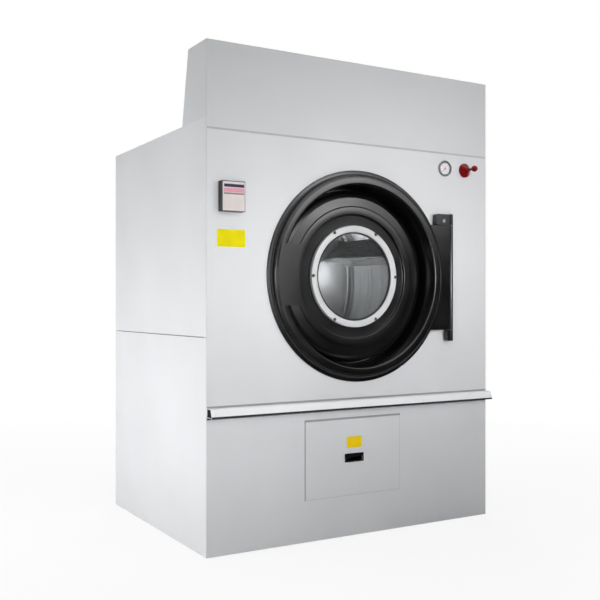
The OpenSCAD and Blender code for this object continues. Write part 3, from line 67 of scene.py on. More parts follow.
Pair = tuple[float, float]
Place = tuple[float, float, float]
Colour = tuple[float, float, float]
Socket = bpy.types.NodeSocket
Piece = bpy.types.Object


class Body(Enum):
    """The bodies of the frame that pieces ride on."""

    CABINET = "cabinet"
    DOOR = "door"
    DRUM = "drum"
    DRAWER = "lint_drawer"
    NEEDLE = "needle"
    STOP = "stop_button"


class Axis(Enum):
    """The axes of the frame, with their place in a point."""

    X = 0
    Y = 1
    Z = 2


def spans(node: str) -> tuple[Pair, Pair, Pair]:
    """Finds how far a CAD node reaches.

    Args:
        node: Name of the CAD node.

    Returns:
        Its lowest and highest place along each axis, in mm from the front face.
    """
    low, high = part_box(node)
    shift = (0.0, FRONT_Y, 0.0)
    return tuple(((low[i] - shift[i]) / MM, (high[i] - shift[i]) / MM) for i in range(3))


def middle(node: str) -> Pair:
    """The middle of a CAD node along x and z."""
    x, _, z = spans(node)
    return sum(x) / 2, sum(z) / 2


def right_of(start: Pair, end: Pair) -> Pair:
    """The unit normal to the right of the line from start to end."""
    run, rise = end[0] - start[0], end[1] - start[1]
    return rise / math.hypot(run, rise), -run / math.hypot(run, rise)


def rectangle(across: Pair, up: Pair) -> list[Pair]:
    """The corners of a rectangle, in order."""
    return [(across[0], up[0]), (across[1], up[0]), (across[1], up[1]), (across[0], up[1])]


def rounded(path: Sequence[Pair], radii: Sequence[float], closed: bool = False,
            steps: int = 6) -> list[Pair]:
    """Rounds the corners of a path.

    Args:
        path: Corner points in order.
        radii: Radius at each corner, 0 to keep it sharp.
        closed: True if the last point joins the first.
        steps: Number of segments in each rounded corner.

    Returns:
        The points of the rounded path.
    """
    points: list[Pair] = []
    count = len(path)
    for i, (corner, radius) in enumerate(zip(path, radii)):
        if radius <= 0 or (not closed and i in (0, count - 1)):
            points.append(corner)
            continue
        here = Vector(corner)
        before = (Vector(path[i - 1]) - here).normalized()
        after = (Vector(path[(i + 1) % count]) - here).normalized()
        half = before.angle(after) / 2
        reach = radius / math.tan(half)
        centre = here + (before + after).normalized() * radius / math.sin(half)
        first, last = here + before * reach - centre, here + after * reach - centre
        turn = first.angle_signed(last)
        for k in range(steps + 1):
            arm = first.copy()
            arm.rotate(Matrix.Rotation(-turn * k / steps, 2))
            points.append(tuple(centre + arm))
    return points


def walled(path: Sequence[Pair], thickness: float) -> list[Pair]:
    """Gives a bent sheet its thickness, to the right of its path.

    Args:
        path: Points of the sheet's first face.
        thickness: Thickness of the sheet.

    Returns:
        The closed outline of the sheet.
    """
    other = []
    last = len(path) - 1
    for i, point in enumerate(path):
        a = right_of(path[max(i - 1, 0)], path[max(i, 1)])
        b = right_of(path[min(i, last - 1)], path[min(i + 1, last)])
        share = thickness / (1 + a[0] * b[0] + a[1] * b[1])
        other.append((point[0] + (a[0] + b[0]) * share, point[1] + (a[1] + b[1]) * share))
    return list(path) + other[::-1]


def along(start: Sequence[float], end: Sequence[float], count: int) -> list[tuple]:
    """Points at equal steps from start to end."""
    return [tuple(Vector(start).lerp(Vector(end), i / (count - 1))) for i in range(count)]


def round_edge(across: Pair, up: Pair, margin: float, columns: int, rows: int) -> list[Pair]:
    """Points at equal steps inside the edge of a rectangle.

    Args:
        across: Left and right edge.
        up: Lower and upper edge.
        margin: Distance of the points from the edge.
        columns: Number of points along the lower and the upper edge.
        rows: Number of points along each side, corners left out.

    Returns:
        The points.
    """
    left, right = across[0] + margin, across[1] - margin
    low, high = up[0] + margin, up[1] - margin
    points = [point for level in (low, high)
              for point in along((left, level), (right, level), columns)]
    for side in (left, right):
        points += along((side, low), (side, high), rows + 2)[1:-1]
    return points


def circle_places(radius: float, y: float, count: int, x: float = 0.0,
                  z: float = AXIS_Z) -> list[Place]:
    """Points at equal steps round an axis along y that stands at x and z."""
    turns = [math.tau * i / count for i in range(count)]
    return [(x + radius * math.cos(a), y, z + radius * math.sin(a)) for a in turns]


def placed(name: str, data: bpy.types.ID) -> Piece:
    """Links a new object with the given data to the scene.

    Args:
        name: Name of the object.
        data: Its mesh, lamp, camera or text.

    Returns:
        The object.
    """
    item = bpy.data.objects.new(name, data)
    bpy.context.scene.collection.objects.link(item)
    return item


def settle(piece: Piece, finish: "Finish", body: Body, replaces: Sequence[str] = ()) -> Piece:
    """Dresses a piece, sets it on its body and reports it.

    Args:
        piece: Object whose mesh is in place.
        finish: Finish of the piece.
        body: Body that the piece rides on.
        replaces: CAD nodes that the piece stands for.

    Returns:
        The piece.
    """
    if not piece.data.materials:
        piece.data.materials.append(finish.material())
    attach(piece, body.value)
    if replaces:
        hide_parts(*replaces)
    log.info("%s rides on %s, %d faces", piece.name, body.value, len(piece.data.polygons))
    return piece


class Shape:
    """A mesh in the making, in millimetres from the front face."""

    def __init__(self) -> None:
        """Starts an empty shape."""
        self.mesh = bmesh.new()

    def block(self, x: Pair, y: Pair, z: Pair) -> "Shape":
        """Adds a box.

        Args:
            x: Its limits along x.
            y: Its limits along y.
            z: Its limits along z.

        Returns:
            The shape.
        """
        size = Matrix.Diagonal((x[1] - x[0], y[1] - y[0], z[1] - z[0], 1))
        centre = Matrix.Translation((sum(x) / 2, sum(y) / 2, sum(z) / 2))
        bmesh.ops.create_cube(self.mesh, size=1, matrix=centre @ size)
        return self

    def prism(self, outline: Sequence[Pair], span: Pair, axis: Axis = Axis.Y) -> "Shape":
        """Adds an outline drawn out along an axis.

        Args:
            outline: Closed outline in the two other axes, in their order.
            span: Start and end along the axis.
            axis: Axis that the outline is drawn out along.

        Returns:
            The shape.
        """
        split = axis.value
        first, last = [[self.mesh.verts.new((*point[:split], level, *point[split:]))
                        for point in outline] for level in span]
        self.mesh.faces.new(first)
        self.mesh.faces.new(last[::-1])
        for i in range(len(outline)):
            j = (i + 1) % len(outline)
            self.mesh.faces.new((first[i], last[i], last[j], first[j]))
        return self

    def turned(self, outline: Sequence[Pair], x: float = 0.0, z: float = AXIS_Z,
               segments: int = 160) -> "Shape":
        """Adds a closed outline turned about an axis along y.

        Args:
            outline: Closed outline of radius and y.
            x: Place of the axis along x.
            z: Height of the axis.
            segments: Number of segments round the axis.

        Returns:
            The shape.
        """
        rings = []
        for k in range(segments):
            angle = math.tau * k / segments
            across, up = math.cos(angle), math.sin(angle)
            rings.append([self.mesh.verts.new((x + r * across, y, z + r * up))
                          for r, y in outline])
        for k, ring in enumerate(rings):
            following = rings[(k + 1) % segments]
            for i in range(len(outline)):
                j = (i + 1) % len(outline)
                if outline[i][0] or outline[j][0]:
                    self.mesh.faces.new((ring[i], ring[j], following[j], following[i]))
        return self

    def rod(self, start: Place, end: Place, radius: float, sides: int) -> "Shape":
        """Adds a round bar between two points.

        Args:
            start: Middle of its first end.
            end: Middle of its second end.
            radius: Radius of the bar.
            sides: Number of sides.

        Returns:
            The shape.
        """
        run = Vector(end) - Vector(start)
        turn = run.to_track_quat("Z", "Y").to_matrix().to_4x4()
        centre = Matrix.Translation((Vector(start) + Vector(end)) / 2)
        bmesh.ops.create_cone(self.mesh, cap_ends=True, segments=sides, radius1=radius,
                              radius2=radius, depth=run.length, matrix=centre @ turn)
        return self

    def piece(self, name: str, finish: "Finish", replaces: Sequence[str] = (),
              body: Body = Body.CABINET, edge: float = 0.0, crease: float = 32.0) -> Piece:
        """Ends the shape as a piece that rides on a body.

        Args:
            name: Name of the piece.
            finish: Finish of the piece.
            replaces: CAD nodes that the piece stands for.
            body: Body that the piece rides on.
            edge: Width of the rounding on its sharp edges.
            crease: Angle above which an edge is sharp, in degrees.

        Returns:
            The piece.
        """
        bmesh.ops.remove_doubles(self.mesh, verts=self.mesh.verts, dist=1e-3)
        bmesh.ops.recalc_face_normals(self.mesh, faces=self.mesh.faces)
        self.mesh.transform(Matrix.Translation((0, FRONT_Y, 0)) @ Matrix.Scale(MM, 4))
        data = bpy.data.meshes.new(name)
        self.mesh.to_mesh(data)
        self.mesh.free()
        data.shade_smooth()
        piece = placed(name, data)
        if edge:
            bevel = piece.modifiers.new("rounding", "BEVEL")
            bevel.width, bevel.segments = edge * MM, 3
            bevel.limit_method, bevel.angle_limit = "ANGLE", math.radians(crease)
            bevel.harden_normals = True
        else:
            data.set_sharp_from_angle(angle=math.radians(crease))
        return settle(piece, finish, body, replaces)


def slab(name: str, finish: "Finish", x: Pair, y: Pair, z: Pair, edge: float,
         replaces: Sequence[str] = (), body: Body = Body.CABINET) -> Piece:
    """Makes a piece of one block, with the same words as Shape.block and Shape.piece."""
    return Shape().block(x, y, z).piece(name, finish, replaces, body, edge)


class Graph:
    """A node tree, with short calls that add and join its nodes."""

    def __init__(self, tree: bpy.types.NodeTree) -> None:
        """Takes a tree and empties it."""
        self.tree = tree
        tree.nodes.clear()

    def add(self, kind: str, inputs: dict | None = None, **settings: object) -> bpy.types.Node:
        """Adds a node.

        Args:
            kind: Type of the node.
            inputs: Values or sockets for its inputs, by name or number.
            **settings: Properties of the node.

        Returns:
            The node.
        """
        node = self.tree.nodes.new(kind)
        for key, value in settings.items():
            setattr(node, key, value)
        for key, value in (inputs or {}).items():
            if isinstance(value, Socket):
                self.tree.links.new(value, node.inputs[key])
            else:
                node.inputs[key].default_value = value
        return node

    def out(self, kind: str, inputs: dict | None = None, **settings: object) -> Socket:
        """Adds a node and gives its first output."""
        return self.add(kind, inputs, **settings).outputs[0]

    def math(self, operation: str, first: object, second: object = 0.0) -> Socket:
        """Adds a sum, product or other reckoning of two values."""
        return self.out("ShaderNodeMath", {0: first, 1: second}, operation=operation)

    def vector(self, x: object, y: object, z: object) -> Socket:
        """Joins three values to a vector."""
        return self.out("ShaderNodeCombineXYZ", {0: x, 1: y, 2: z})

    def remap(self, value: Socket, source: Pair, target: Pair) -> Socket:
        """Maps one range of values to another, and holds it there."""
        return self.out("ShaderNodeMapRange", {0: value, 1: source[0], 2: source[1],
                                               3: target[0], 4: target[1]})

    def blend(self, share: object, first: object, second: object) -> Socket:
        """Mixes two values by a share from 0 to 1."""
        return self.out("ShaderNodeMix", {0: share, 2: first, 3: second}, data_type="FLOAT")


class Shader(Graph):
    """A material's node graph."""

    def __init__(self, name: str) -> None:
        """Starts a material with an empty graph.

        Args:
            name: Name of the material.
        """
        self.material = bpy.data.materials.new(name)
        self.material.use_nodes = True
        super().__init__(self.material.node_tree)
        self.place = self.add("ShaderNodeTexCoord").outputs["Object"]

    def stretched(self, factors: Place) -> Socket:
        """The place on the piece, stretched by a factor along each axis."""
        return self.out("ShaderNodeVectorMath", {0: self.place, 1: factors}, operation="MULTIPLY")

    def rings(self, marks: float) -> Socket:
        """The place in turns round the drum axis, for marks left by turning or rolling.

        Args:
            marks: Marks to a metre, along the axis and away from it.

        Returns:
            A socket that gives the place.
        """
        split = self.add("ShaderNodeSeparateXYZ", {0: self.place})
        flat = self.out("ShaderNodeCombineXYZ", {0: split.outputs[0], 2: split.outputs[2]})
        arm = self.add("ShaderNodeVectorMath", {0: flat, 1: (0, 0, AXIS_Z * MM)},
                       operation="DISTANCE").outputs["Value"]
        deep = self.math("MULTIPLY", split.outputs[1], marks)
        return self.out("ShaderNodeCombineXYZ", {0: self.math("MULTIPLY", arm, marks), 1: deep})

    def noise(self, scale: float, detail: float = 3.0, place: Socket | None = None) -> Socket:
        """Cloudy noise of about a given number of clouds to a metre."""
        return self.out("ShaderNodeTexNoise", {"Vector": place or self.place, "Scale": scale,
                                               "Detail": detail})

    def mix(self, share: Socket, first: object, second: object) -> Socket:
        """Mixes two colours, each a socket or three numbers, by a share from 0 to 1."""
        first, second = (c if isinstance(c, Socket) else (*c, 1.0) for c in (first, second))
        return self.add("ShaderNodeMix", {"Factor": share, 6: first, 7: second},
                        data_type="RGBA").outputs[2]

    def fade(self, value: Socket, span: Pair, first: object, second: object,
             most: float = 1.0) -> Socket:
        """Fades from one colour to another, by at most a share, as a value crosses a span."""
        return self.mix(self.remap(value, span, (0, most)), first, second)

    def edges(self, radius: float) -> tuple[Socket, Socket]:
        """Rounds the sharp edges of a surface in its shading.

        Args:
            radius: Radius of the rounding, in mm.

        Returns:
            The rounded normal, and a mask that is 1 on the edges.
        """
        bevel = self.out("ShaderNodeBevel", {"Radius": radius * MM}, samples=4)
        flat = self.add("ShaderNodeNewGeometry").outputs["Normal"]
        agree = self.add("ShaderNodeVectorMath", {0: bevel, 1: flat},
                         operation="DOT_PRODUCT").outputs["Value"]
        return bevel, self.remap(agree, (0.999, 0.93), (0.0, 1.0))

    def surface(self, height: Socket, strength: float, depth: float, normal: Socket,
                **inputs: object) -> None:
        """Ends the graph in a principled shader with a raised surface.

        Args:
            height: Height map of the surface.
            strength: Share of the height that shows.
            depth: Depth of the height map, in mm.
            normal: Normal that the height is added to.
            **inputs: Inputs of the shader, with underscores for the spaces in their names.
        """
        bump = self.out("ShaderNodeBump", {"Height": height, "Strength": strength,
                                           "Distance": depth * MM, "Normal": normal})
        named = {key.replace("_", " "): value for key, value in inputs.items()}
        self.close(self.out("ShaderNodeBsdfPrincipled", {**named, "Normal": bump}))

    def close(self, shader: Socket) -> None:
        """Joins a shader to the material's output."""
        self.add("ShaderNodeOutputMaterial", {"Surface": shader})


@dataclass(frozen=True)
class Finish:
    """A finish, by the record's slot that it belongs to, with a name of its own if need be."""

    slot: str
    colour: Colour
    name: str = ""
    roughness: float = 0.5

    @property
    def label(self) -> str:
        """The finish's name, or else its slot's."""
        return self.name or self.slot

    def material(self) -> bpy.types.Material:
        """Makes the finish's material, unless it is there already.

        Returns:
            The material.
        """
        made = bpy.data.materials.get(f"finish_{self.label}")
        if made is None:
            graph = Shader(f"finish_{self.label}")
            self.dress(graph)
            made = graph.material
        return made

    def toned(self, factor: float, lift: float = 0.0) -> Colour:
        """The colour times a factor and raised by a lift."""
        return tuple(min(1.0, c * factor + lift) for c in self.colour)

    def rough(self, graph: Shader, value: Socket, less: float, more: float,
              span: Pair = CLOUDS) -> Socket:
        """The roughness, which runs from a little less to a little more with a value."""
        return graph.remap(value, span, (self.roughness - less, self.roughness + more))

    def dress(self, graph: Shader) -> None:
        """Builds the finish in a graph."""
        raise NotImplementedError


@dataclass(frozen=True)
class PowderCoat(Finish):
    """Painted sheet: orange peel, faint clouds of tone, rubbed edges and dust near the floor."""

    roughness: float = 0.42
    tone: float = 0.035
    peel: float = 0.12
    shine: float = 0.5
    worn: float = 0.25
    edge: float = 1.6
    dust: float = 0.12
    dust_top: float = 0.35
    dust_colour: Colour = (0.30, 0.28, 0.25)

    def dress(self, graph: Shader) -> None:
        """Builds the paint.

        Args:
            graph: Graph to build it in.
        """
        normal, edge = graph.edges(self.edge)
        colour = graph.fade(graph.noise(1.7), CLOUDS, self.toned(1 - self.tone),
                            self.toned(1 + self.tone))
        height = graph.add("ShaderNodeSeparateXYZ", {0: graph.place}).outputs[2]
        low = graph.remap(height, (0.0, self.dust_top), (self.dust, 0.0))
        settled = graph.math("MULTIPLY", low, graph.noise(9.0, 5.0))
        colour = graph.mix(settled, colour, self.dust_colour)
        patches = graph.remap(graph.noise(26.0, 5.0), (0.45, 0.7), (0, self.worn))
        rub = graph.math("MULTIPLY", edge, patches)
        graph.surface(graph.noise(420.0, 1.5), self.peel, 0.25, normal,
                      Base_Color=graph.mix(rub, colour, self.toned(0.5, 0.22)),
                      Roughness=self.rough(graph, graph.noise(6.0, 6.0), 0.05, 0.07),
                      Specular_IOR_Level=self.shine)


@dataclass(frozen=True)
class Enamel(Finish):
    """Glossy dark enamel with a clear coat, faint smears and light rubbed edges."""

    roughness: float = 0.22
    coat: float = 0.3
    coat_roughness: float = 0.14
    edge: float = 1.2

    def dress(self, graph: Shader) -> None:
        """Builds the enamel.

        Args:
            graph: Graph to build it in.
        """
        normal, edge = graph.edges(self.edge)
        smear = graph.noise(3.5, 6.0, graph.stretched((1.0, 1.0, 2.4)))
        colour = graph.fade(smear, (0.35, 0.7), self.colour, self.toned(2.2))
        graph.surface(graph.noise(160.0, 1.5), 0.05, 0.4, normal,
                      Base_Color=graph.fade(edge, (0, 1), colour, self.toned(1, 0.03), 0.35),
                      Roughness=self.rough(graph, smear, 0.04, 0.06),
                      Coat_Weight=self.coat, Coat_Roughness=self.coat_roughness)


@dataclass(frozen=True)
class RolledSteel(Finish):
    """Bare steel with fine rolling marks, along an axis or round the drum axis."""

    roughness: float = 0.28
    grain: Place = (40.0, 1.0, 40.0)
    round_axis: bool = False
    ring_marks: float = 520.0
    depth: float = 0.08
    stain: float = 0.12
    mark_colour: Colour = (0.25, 0.25, 0.26)

    def dress(self, graph: Shader) -> None:
        """Builds the steel.

        Args:
            graph: Graph to build it in.
        """
        normal, edge = graph.edges(0.8)
        marks = graph.rings(self.ring_marks) if self.round_axis else graph.stretched(self.grain)
        grain = graph.noise(9.0, 5.0, marks)
        colour = graph.fade(graph.noise(4.0, 4.0), (0.35, 0.65), self.colour,
                            self.toned(1 - self.stain))
        polished = graph.remap(edge, (0, 1), (0, 0.08))
        graph.surface(grain, 0.25, self.depth, normal, Metallic=1.0,
                      Base_Color=graph.fade(grain, CLOUDS, colour, self.mark_colour, 0.16),
                      Roughness=graph.math("SUBTRACT", self.rough(graph, grain, 0.06, 0.1),
                                           polished))


@dataclass(frozen=True)
class ZincSheet(Finish):
    """Zinc coated sheet with its crystal pattern."""

    roughness: float = 0.44
    crystals: float = 70.0

    def dress(self, graph: Shader) -> None:
        """Builds the zinc coat.

        Args:
            graph: Graph to build it in.
        """
        normal, _ = graph.edges(1.0)
        cells = graph.add("ShaderNodeTexVoronoi", {"Vector": graph.place, "Scale": self.crystals})
        tone = graph.out("ShaderNodeSeparateColor", {0: cells.outputs["Color"]})
        graph.surface(graph.noise(60.0, 4.0), 0.12, 0.2, normal, Metallic=0.9,
                      Base_Color=graph.fade(tone, (0, 1), self.toned(0.82), self.colour),
                      Roughness=self.rough(graph, tone, 0.08, 0.1, (0, 1)))


@dataclass(frozen=True)
class CastMetal(Finish):
    """Painted casting with a sandy surface."""

    roughness: float = 0.6
    metal: float = 0.0

    def dress(self, graph: Shader) -> None:
        """Builds the casting.

        Args:
            graph: Graph to build it in.
        """
        normal, edge = graph.edges(1.5)
        cloud = graph.noise(12.0, 5.0)
        colour = graph.fade(cloud, CLOUDS, self.colour, self.toned(0.8))
        graph.surface(graph.noise(380.0, 4.0), 0.35, 0.35, normal, Metallic=self.metal,
                      Base_Color=graph.fade(edge, (0, 1), colour, self.toned(1, 0.16), 0.4),
                      Roughness=self.rough(graph, cloud, 0.08, 0.1))


@dataclass(frozen=True)
class Moulding(Finish):
    """Moulded plastic or rubber with a fine grain."""

    grain: float = 900.0
    relief: float = 0.15
    shine: float = 0.5

    def dress(self, graph: Shader) -> None:
        """Builds the moulding.

        Args:
            graph: Graph to build it in.
        """
        normal, edge = graph.edges(0.8)
        cloud = graph.noise(18.0, 5.0)
        colour = graph.fade(cloud, (0.35, 0.7), self.colour, self.toned(1.1, 0.002))
        graph.surface(graph.noise(self.grain, 2.0), self.relief, 0.12, normal,
                      Base_Color=graph.fade(edge, (0, 1), colour, self.toned(1.3, 0.015), 0.3),
                      Roughness=self.rough(graph, cloud, 0.06, 0.08),
                      Specular_IOR_Level=self.shine)


@dataclass(frozen=True)
class ClearPane(Finish):
    """Flat clear glass with a trace of smears, which lets lamps through."""

    ior: float = 1.25
    tint: Colour = (0.93, 0.95, 0.95)

    def dress(self, graph: Shader) -> None:
        """Builds the pane.

        Args:
            graph: Graph to build it in.
        """
        smear = graph.noise(7.0, 5.0, graph.stretched((1.0, 1.0, 2.0)))
        pane = graph.out("ShaderNodeBsdfPrincipled", {
            "Base Color": (*self.colour, 1.0), "Transmission Weight": 1.0, "IOR": self.ior,
            "Roughness": graph.remap(smear, (0.45, 0.75), (0.0, 0.05))})
        through = graph.out("ShaderNodeBsdfTransparent", {0: (*self.tint, 1.0)})
        lamps = graph.add("ShaderNodeLightPath").outputs["Is Shadow Ray"]
        graph.close(graph.out("ShaderNodeMixShader", {0: lamps, 1: pane, 2: through}))


class Coats:
    """The finishes of the machine. The first one of a slot is that of its CAD nodes."""

    PANEL = PowderCoat("panel_paint", (0.745, 0.755, 0.77))
    # Painted shade: a darker copy of the panel paint, for the header, which is lit less than the
    # panel.
    HEADER_SHADED = PowderCoat("panel_paint", (0.70, 0.71, 0.725), "header_shaded_paint")
    LEDGE = PowderCoat("ledge_paint", (0.92, 0.93, 0.94), roughness=0.5, tone=0.02, dust=0.0)
    FRAME = PowderCoat("frame_paint", (0.06, 0.065, 0.07), roughness=0.6)
    BLACK = Enamel("black_enamel", (0.0025, 0.0025, 0.0028))
    CAST = CastMetal("cast_paint", (0.035, 0.037, 0.04))
    MACHINE = CastMetal("machine_paint", (0.03, 0.07, 0.13), roughness=0.42)
    ZINC = ZincSheet("zinc_sheet", (0.56, 0.58, 0.60))
    # Painted shade and light: the drum wall's stainless is darkened for the shade inside the
    # drum, and the back plate is a lighter copy of it for light falling on the plate.
    DRUM = RolledSteel("stainless", (0.36, 0.363, 0.37), round_axis=True)
    BACK_PLATE_LIT = RolledSteel("stainless", (0.50, 0.504, 0.512), "back_plate_lit_steel",
                             roughness=0.42, round_axis=True, stain=0.2)
    LIFTER = RolledSteel("stainless", (0.52, 0.525, 0.535), "lifter_steel", grain=(60, 0.8, 60))
    SHAFT = RolledSteel("shaft_steel", (0.36, 0.36, 0.37), round_axis=True)
    PIN = RolledSteel("pin_steel", (0.66, 0.66, 0.67), roughness=0.2, grain=(2, 2, 300))
    BOLT = RolledSteel("pin_steel", (0.50, 0.51, 0.52), "bolt_steel", roughness=0.3,
                       grain=(20, 20, 20))
    PIPE = CastMetal("pipe_steel", (0.12, 0.12, 0.125), roughness=0.5, metal=0.6)
    SCREEN = RolledSteel("screen_steel", (0.42, 0.43, 0.44), grain=(50, 50, 50))
    COPPER = RolledSteel("copper_coil", (0.72, 0.36, 0.22), grain=(1, 60, 60), roughness=0.3)
    BEZEL = CastMetal("dark_metal", (0.30, 0.30, 0.305), "bezel_metal", roughness=0.4, metal=0.2)
    RING = PowderCoat("ring_metal", (0.66, 0.67, 0.68), tone=0.03, dust=0.0, shine=0.4)
    BOX = PowderCoat("box_paint", (0.022, 0.020, 0.022), roughness=0.5, dust=0.0)
    SILL = PowderCoat("box_paint", (0.26, 0.23, 0.225), "box_sill_paint", roughness=0.5, dust=0.0)
    FILM = Moulding("keypad_film", (0.70, 0.635, 0.62), roughness=0.45)
    PINK = Moulding("keypad_film", (0.72, 0.30, 0.38), "keypad_band", roughness=0.38)
    DISPLAY = Moulding("keypad_film", (0.02, 0.018, 0.06), "keypad_display", roughness=0.35,
                       shine=0.3)
    BLACK_PLASTIC = Moulding("black_plastic", (0.004, 0.004, 0.0045), shine=0.2)
    POINTER = Moulding("black_plastic", (0.10, 0.10, 0.105), "pointer_paint")
    RED = Moulding("red_plastic", (0.20, 0.0, 0.001), roughness=0.2, shine=0.3, relief=0.03)
    GLASS = ClearPane("clear_glass", (0.97, 0.985, 0.985))
    SEAL = Moulding("seal_rubber", (0.03, 0.03, 0.031), roughness=0.7)
    # Painted shade: the two greys below colour strips that stand for shade lines at the rail, the
    # drawer gap and the header seam.
    SHADE_GREY = Moulding("seal_rubber", (0.36, 0.36, 0.37), "painted_shade_grey", roughness=0.6)
    PALE_SHADE_GREY = Moulding("seal_rubber", (0.50, 0.505, 0.515), "painted_pale_shade_grey", roughness=0.6)
    # Real rubber, and also the black of strips that paint shade at the rail and the drawer gap.
    RUBBER = Moulding("belt_rubber", (0.012, 0.012, 0.012), roughness=0.75)
    YELLOW = Moulding("ledge_paint", (0.80, 0.70, 0.0), "yellow_plate", shine=0.1)
    AMBER = Moulding("ledge_paint", (1.0, 0.66, 0.005), "amber_plate", shine=0.1)
    BLUSH = Moulding("ledge_paint", (0.70, 0.52, 0.55), "dial_mark")
    TICK = Moulding("ledge_paint", (0.16, 0.16, 0.17), "dial_tick")
    DIAL = Moulding("ledge_paint", (0.68, 0.66, 0.67), "dial_face", roughness=0.4)


class NodeTree(Graph):
    """A geometry node tree with named inputs that ends in realised, dressed instances."""

    KINDS = {float: "NodeSocketFloat", int: "NodeSocketInt", bool: "NodeSocketBool",
             tuple: "NodeSocketVector"}

    def __init__(self, name: str, inputs: dict[str, object]) -> None:
        """Starts a tree.

        Args:
            name: Name of the tree.
            inputs: Default value of each named input.
        """
        super().__init__(bpy.data.node_groups.new(name, "GeometryNodeTree"))
        face = self.tree.interface
        face.new_socket("Points", in_out="INPUT", socket_type="NodeSocketGeometry")
        self.identifiers: dict[str, str] = {}
        for label, value in inputs.items():
            socket = face.new_socket(label, in_out="INPUT", socket_type=self.KINDS[type(value)])
            socket.default_value = value
            self.identifiers[label] = socket.identifier
        socket = face.new_socket("Material", in_out="INPUT", socket_type="NodeSocketMaterial")
        self.identifiers["Material"] = socket.identifier
        face.new_socket("Geometry", in_out="OUTPUT", socket_type="NodeSocketGeometry")
        self.inputs = self.tree.nodes.new("NodeGroupInput").outputs

    def share(self, name: str, factor: float) -> Socket:
        """An input of the tree times a factor."""
        return self.math("MULTIPLY", self.inputs[name], factor)

    def joined(self, *parts: Socket) -> Socket:
        """Joins geometries to one.

        Args:
            *parts: Geometries to join.

        Returns:
            A socket that gives them as one.
        """
        both = self.add("GeometryNodeJoinGeometry")
        for part in parts:
            self.tree.links.new(part, both.inputs[0])
        return both.outputs[0]

    def end(self, instance: Socket, **turn: Socket) -> None:
        """Sets an instance on each point, realises and dresses them, and ends the tree.

        Args:
            instance: Geometry of the instance.
            **turn: Rotation of the instances, if they are turned.
        """
        instances = self.out("GeometryNodeInstanceOnPoints", {
            "Points": self.inputs["Points"], "Instance": instance, **turn})
        real = self.out("GeometryNodeRealizeInstances", {0: instances})
        self.add("NodeGroupOutput", {0: self.out("GeometryNodeSetMaterial", {
            "Geometry": real, "Material": self.inputs["Material"]})})

    def grow(self, name: str, points: Sequence[Place], finish: Finish,
             replaces: Sequence[str] = (), body: Body = Body.CABINET,
             **values: object) -> Piece:
        """Runs the tree on points and keeps the result as a plain piece.

        Args:
            name: Name of the piece.
            points: Places in mm from the front face.
            finish: Finish of the piece.
            replaces: CAD nodes that the piece stands for.
            body: Body that the piece rides on.
            **values: Inputs of the tree, with underscores for spaces. Lengths are metres.

        Returns:
            The piece.
        """
        data = bpy.data.meshes.new(f"{name}_points")
        data.from_pydata([(x * MM, FRONT_Y + y * MM, z * MM) for x, y, z in points], [], [])
        piece = placed(name, data)
        field = piece.modifiers.new("field", "NODES")
        field.node_group = self.tree
        for label, value in values.items():
            field[self.identifiers[label.replace("_", " ")]] = value
        field[self.identifiers["Material"]] = finish.material()
        seen = piece.evaluated_get(bpy.context.evaluated_depsgraph_get())
        plain = bpy.data.meshes.new_from_object(seen)
        piece.modifiers.clear()
        plain.name = name
        piece.data = plain
        bpy.data.meshes.remove(data)
        return settle(piece, finish, body, replaces)


class FastenerTree(NodeTree):
    """Screws, rivets or bolts at points: a washer and a head, with a cross recess if asked."""

    WASHER_T = 0.28
    TAPER = 0.86
    CROSS: Pair = (1.1, 0.24)
    RECESS = 1.1

    def __init__(self) -> None:
        """Builds the tree."""
        super().__init__("fastener_field", {
            "Head radius": 0.005, "Head height": 0.003, "Sides": 20, "Washer": 1.3,
            "Cross": False, "Facing": (0.0, -1.0, 0.0), "Seed": 7})
        head_h = self.inputs["Head height"]
        washer_r = self.share("Head radius", self.inputs["Washer"])
        washer = self.out("GeometryNodeMeshCone", {
            "Vertices": 24, "Radius Bottom": washer_r, "Radius Top": washer_r,
            "Depth": self.share("Head height", self.WASHER_T)})
        head = self.out("GeometryNodeMeshCone", {
            "Vertices": self.inputs["Sides"], "Radius Bottom": self.inputs["Head radius"],
            "Radius Top": self.share("Head radius", self.TAPER), "Depth": head_h})
        long, narrow = (self.share("Head radius", size) for size in self.CROSS)
        bars = [self.out("GeometryNodeMeshCube", {0: self.vector(*sides, head_h)})
                for sides in ((long, narrow), (narrow, long))]
        sunk = self.out("GeometryNodeTransform", {
            0: self.joined(*bars),
            "Translation": self.vector(0.0, 0.0, self.share("Head height", self.RECESS))})
        cut = self.out("GeometryNodeMeshBoolean", {0: head, 1: sunk}, operation="DIFFERENCE")
        choice = self.out("GeometryNodeSwitch", {"Switch": self.inputs["Cross"], "False": head,
                                                 "True": cut}, input_type="GEOMETRY")
        twist = self.add("FunctionNodeRandomValue", {
            2: 0.0, 3: math.tau, "Seed": self.inputs["Seed"]}, data_type="FLOAT").outputs[1]
        spin = self.out("FunctionNodeAxisAngleToRotation", {"Axis": (0, 0, 1), "Angle": twist})
        face = self.out("FunctionNodeAlignRotationToVector", {"Vector": self.inputs["Facing"]},
                        axis="Z")
        turned = self.out("FunctionNodeRotateRotation", {0: face, 1: spin},
                          rotation_space="LOCAL")
        self.end(self.joined(washer, choice), Rotation=turned)


class SlabTree(NodeTree):
    """Thin slabs at points, such as ticks and keys, turned by equal steps about y."""

    def __init__(self) -> None:
        """Builds the tree."""
        super().__init__("slab_field", {"Size": (0.01, 0.01, 0.01), "First turn": 0.0,
                                        "Turn step": 0.0})
        index = self.out("GeometryNodeInputIndex")
        turn = self.math("ADD", self.inputs["First turn"], self.share("Turn step", index))
        self.end(self.out("GeometryNodeMeshCube", {0: self.inputs["Size"]}),
                 Rotation=self.out("FunctionNodeAxisAngleToRotation", {"Axis": (0, 1, 0),
                                                                       "Angle": turn}))


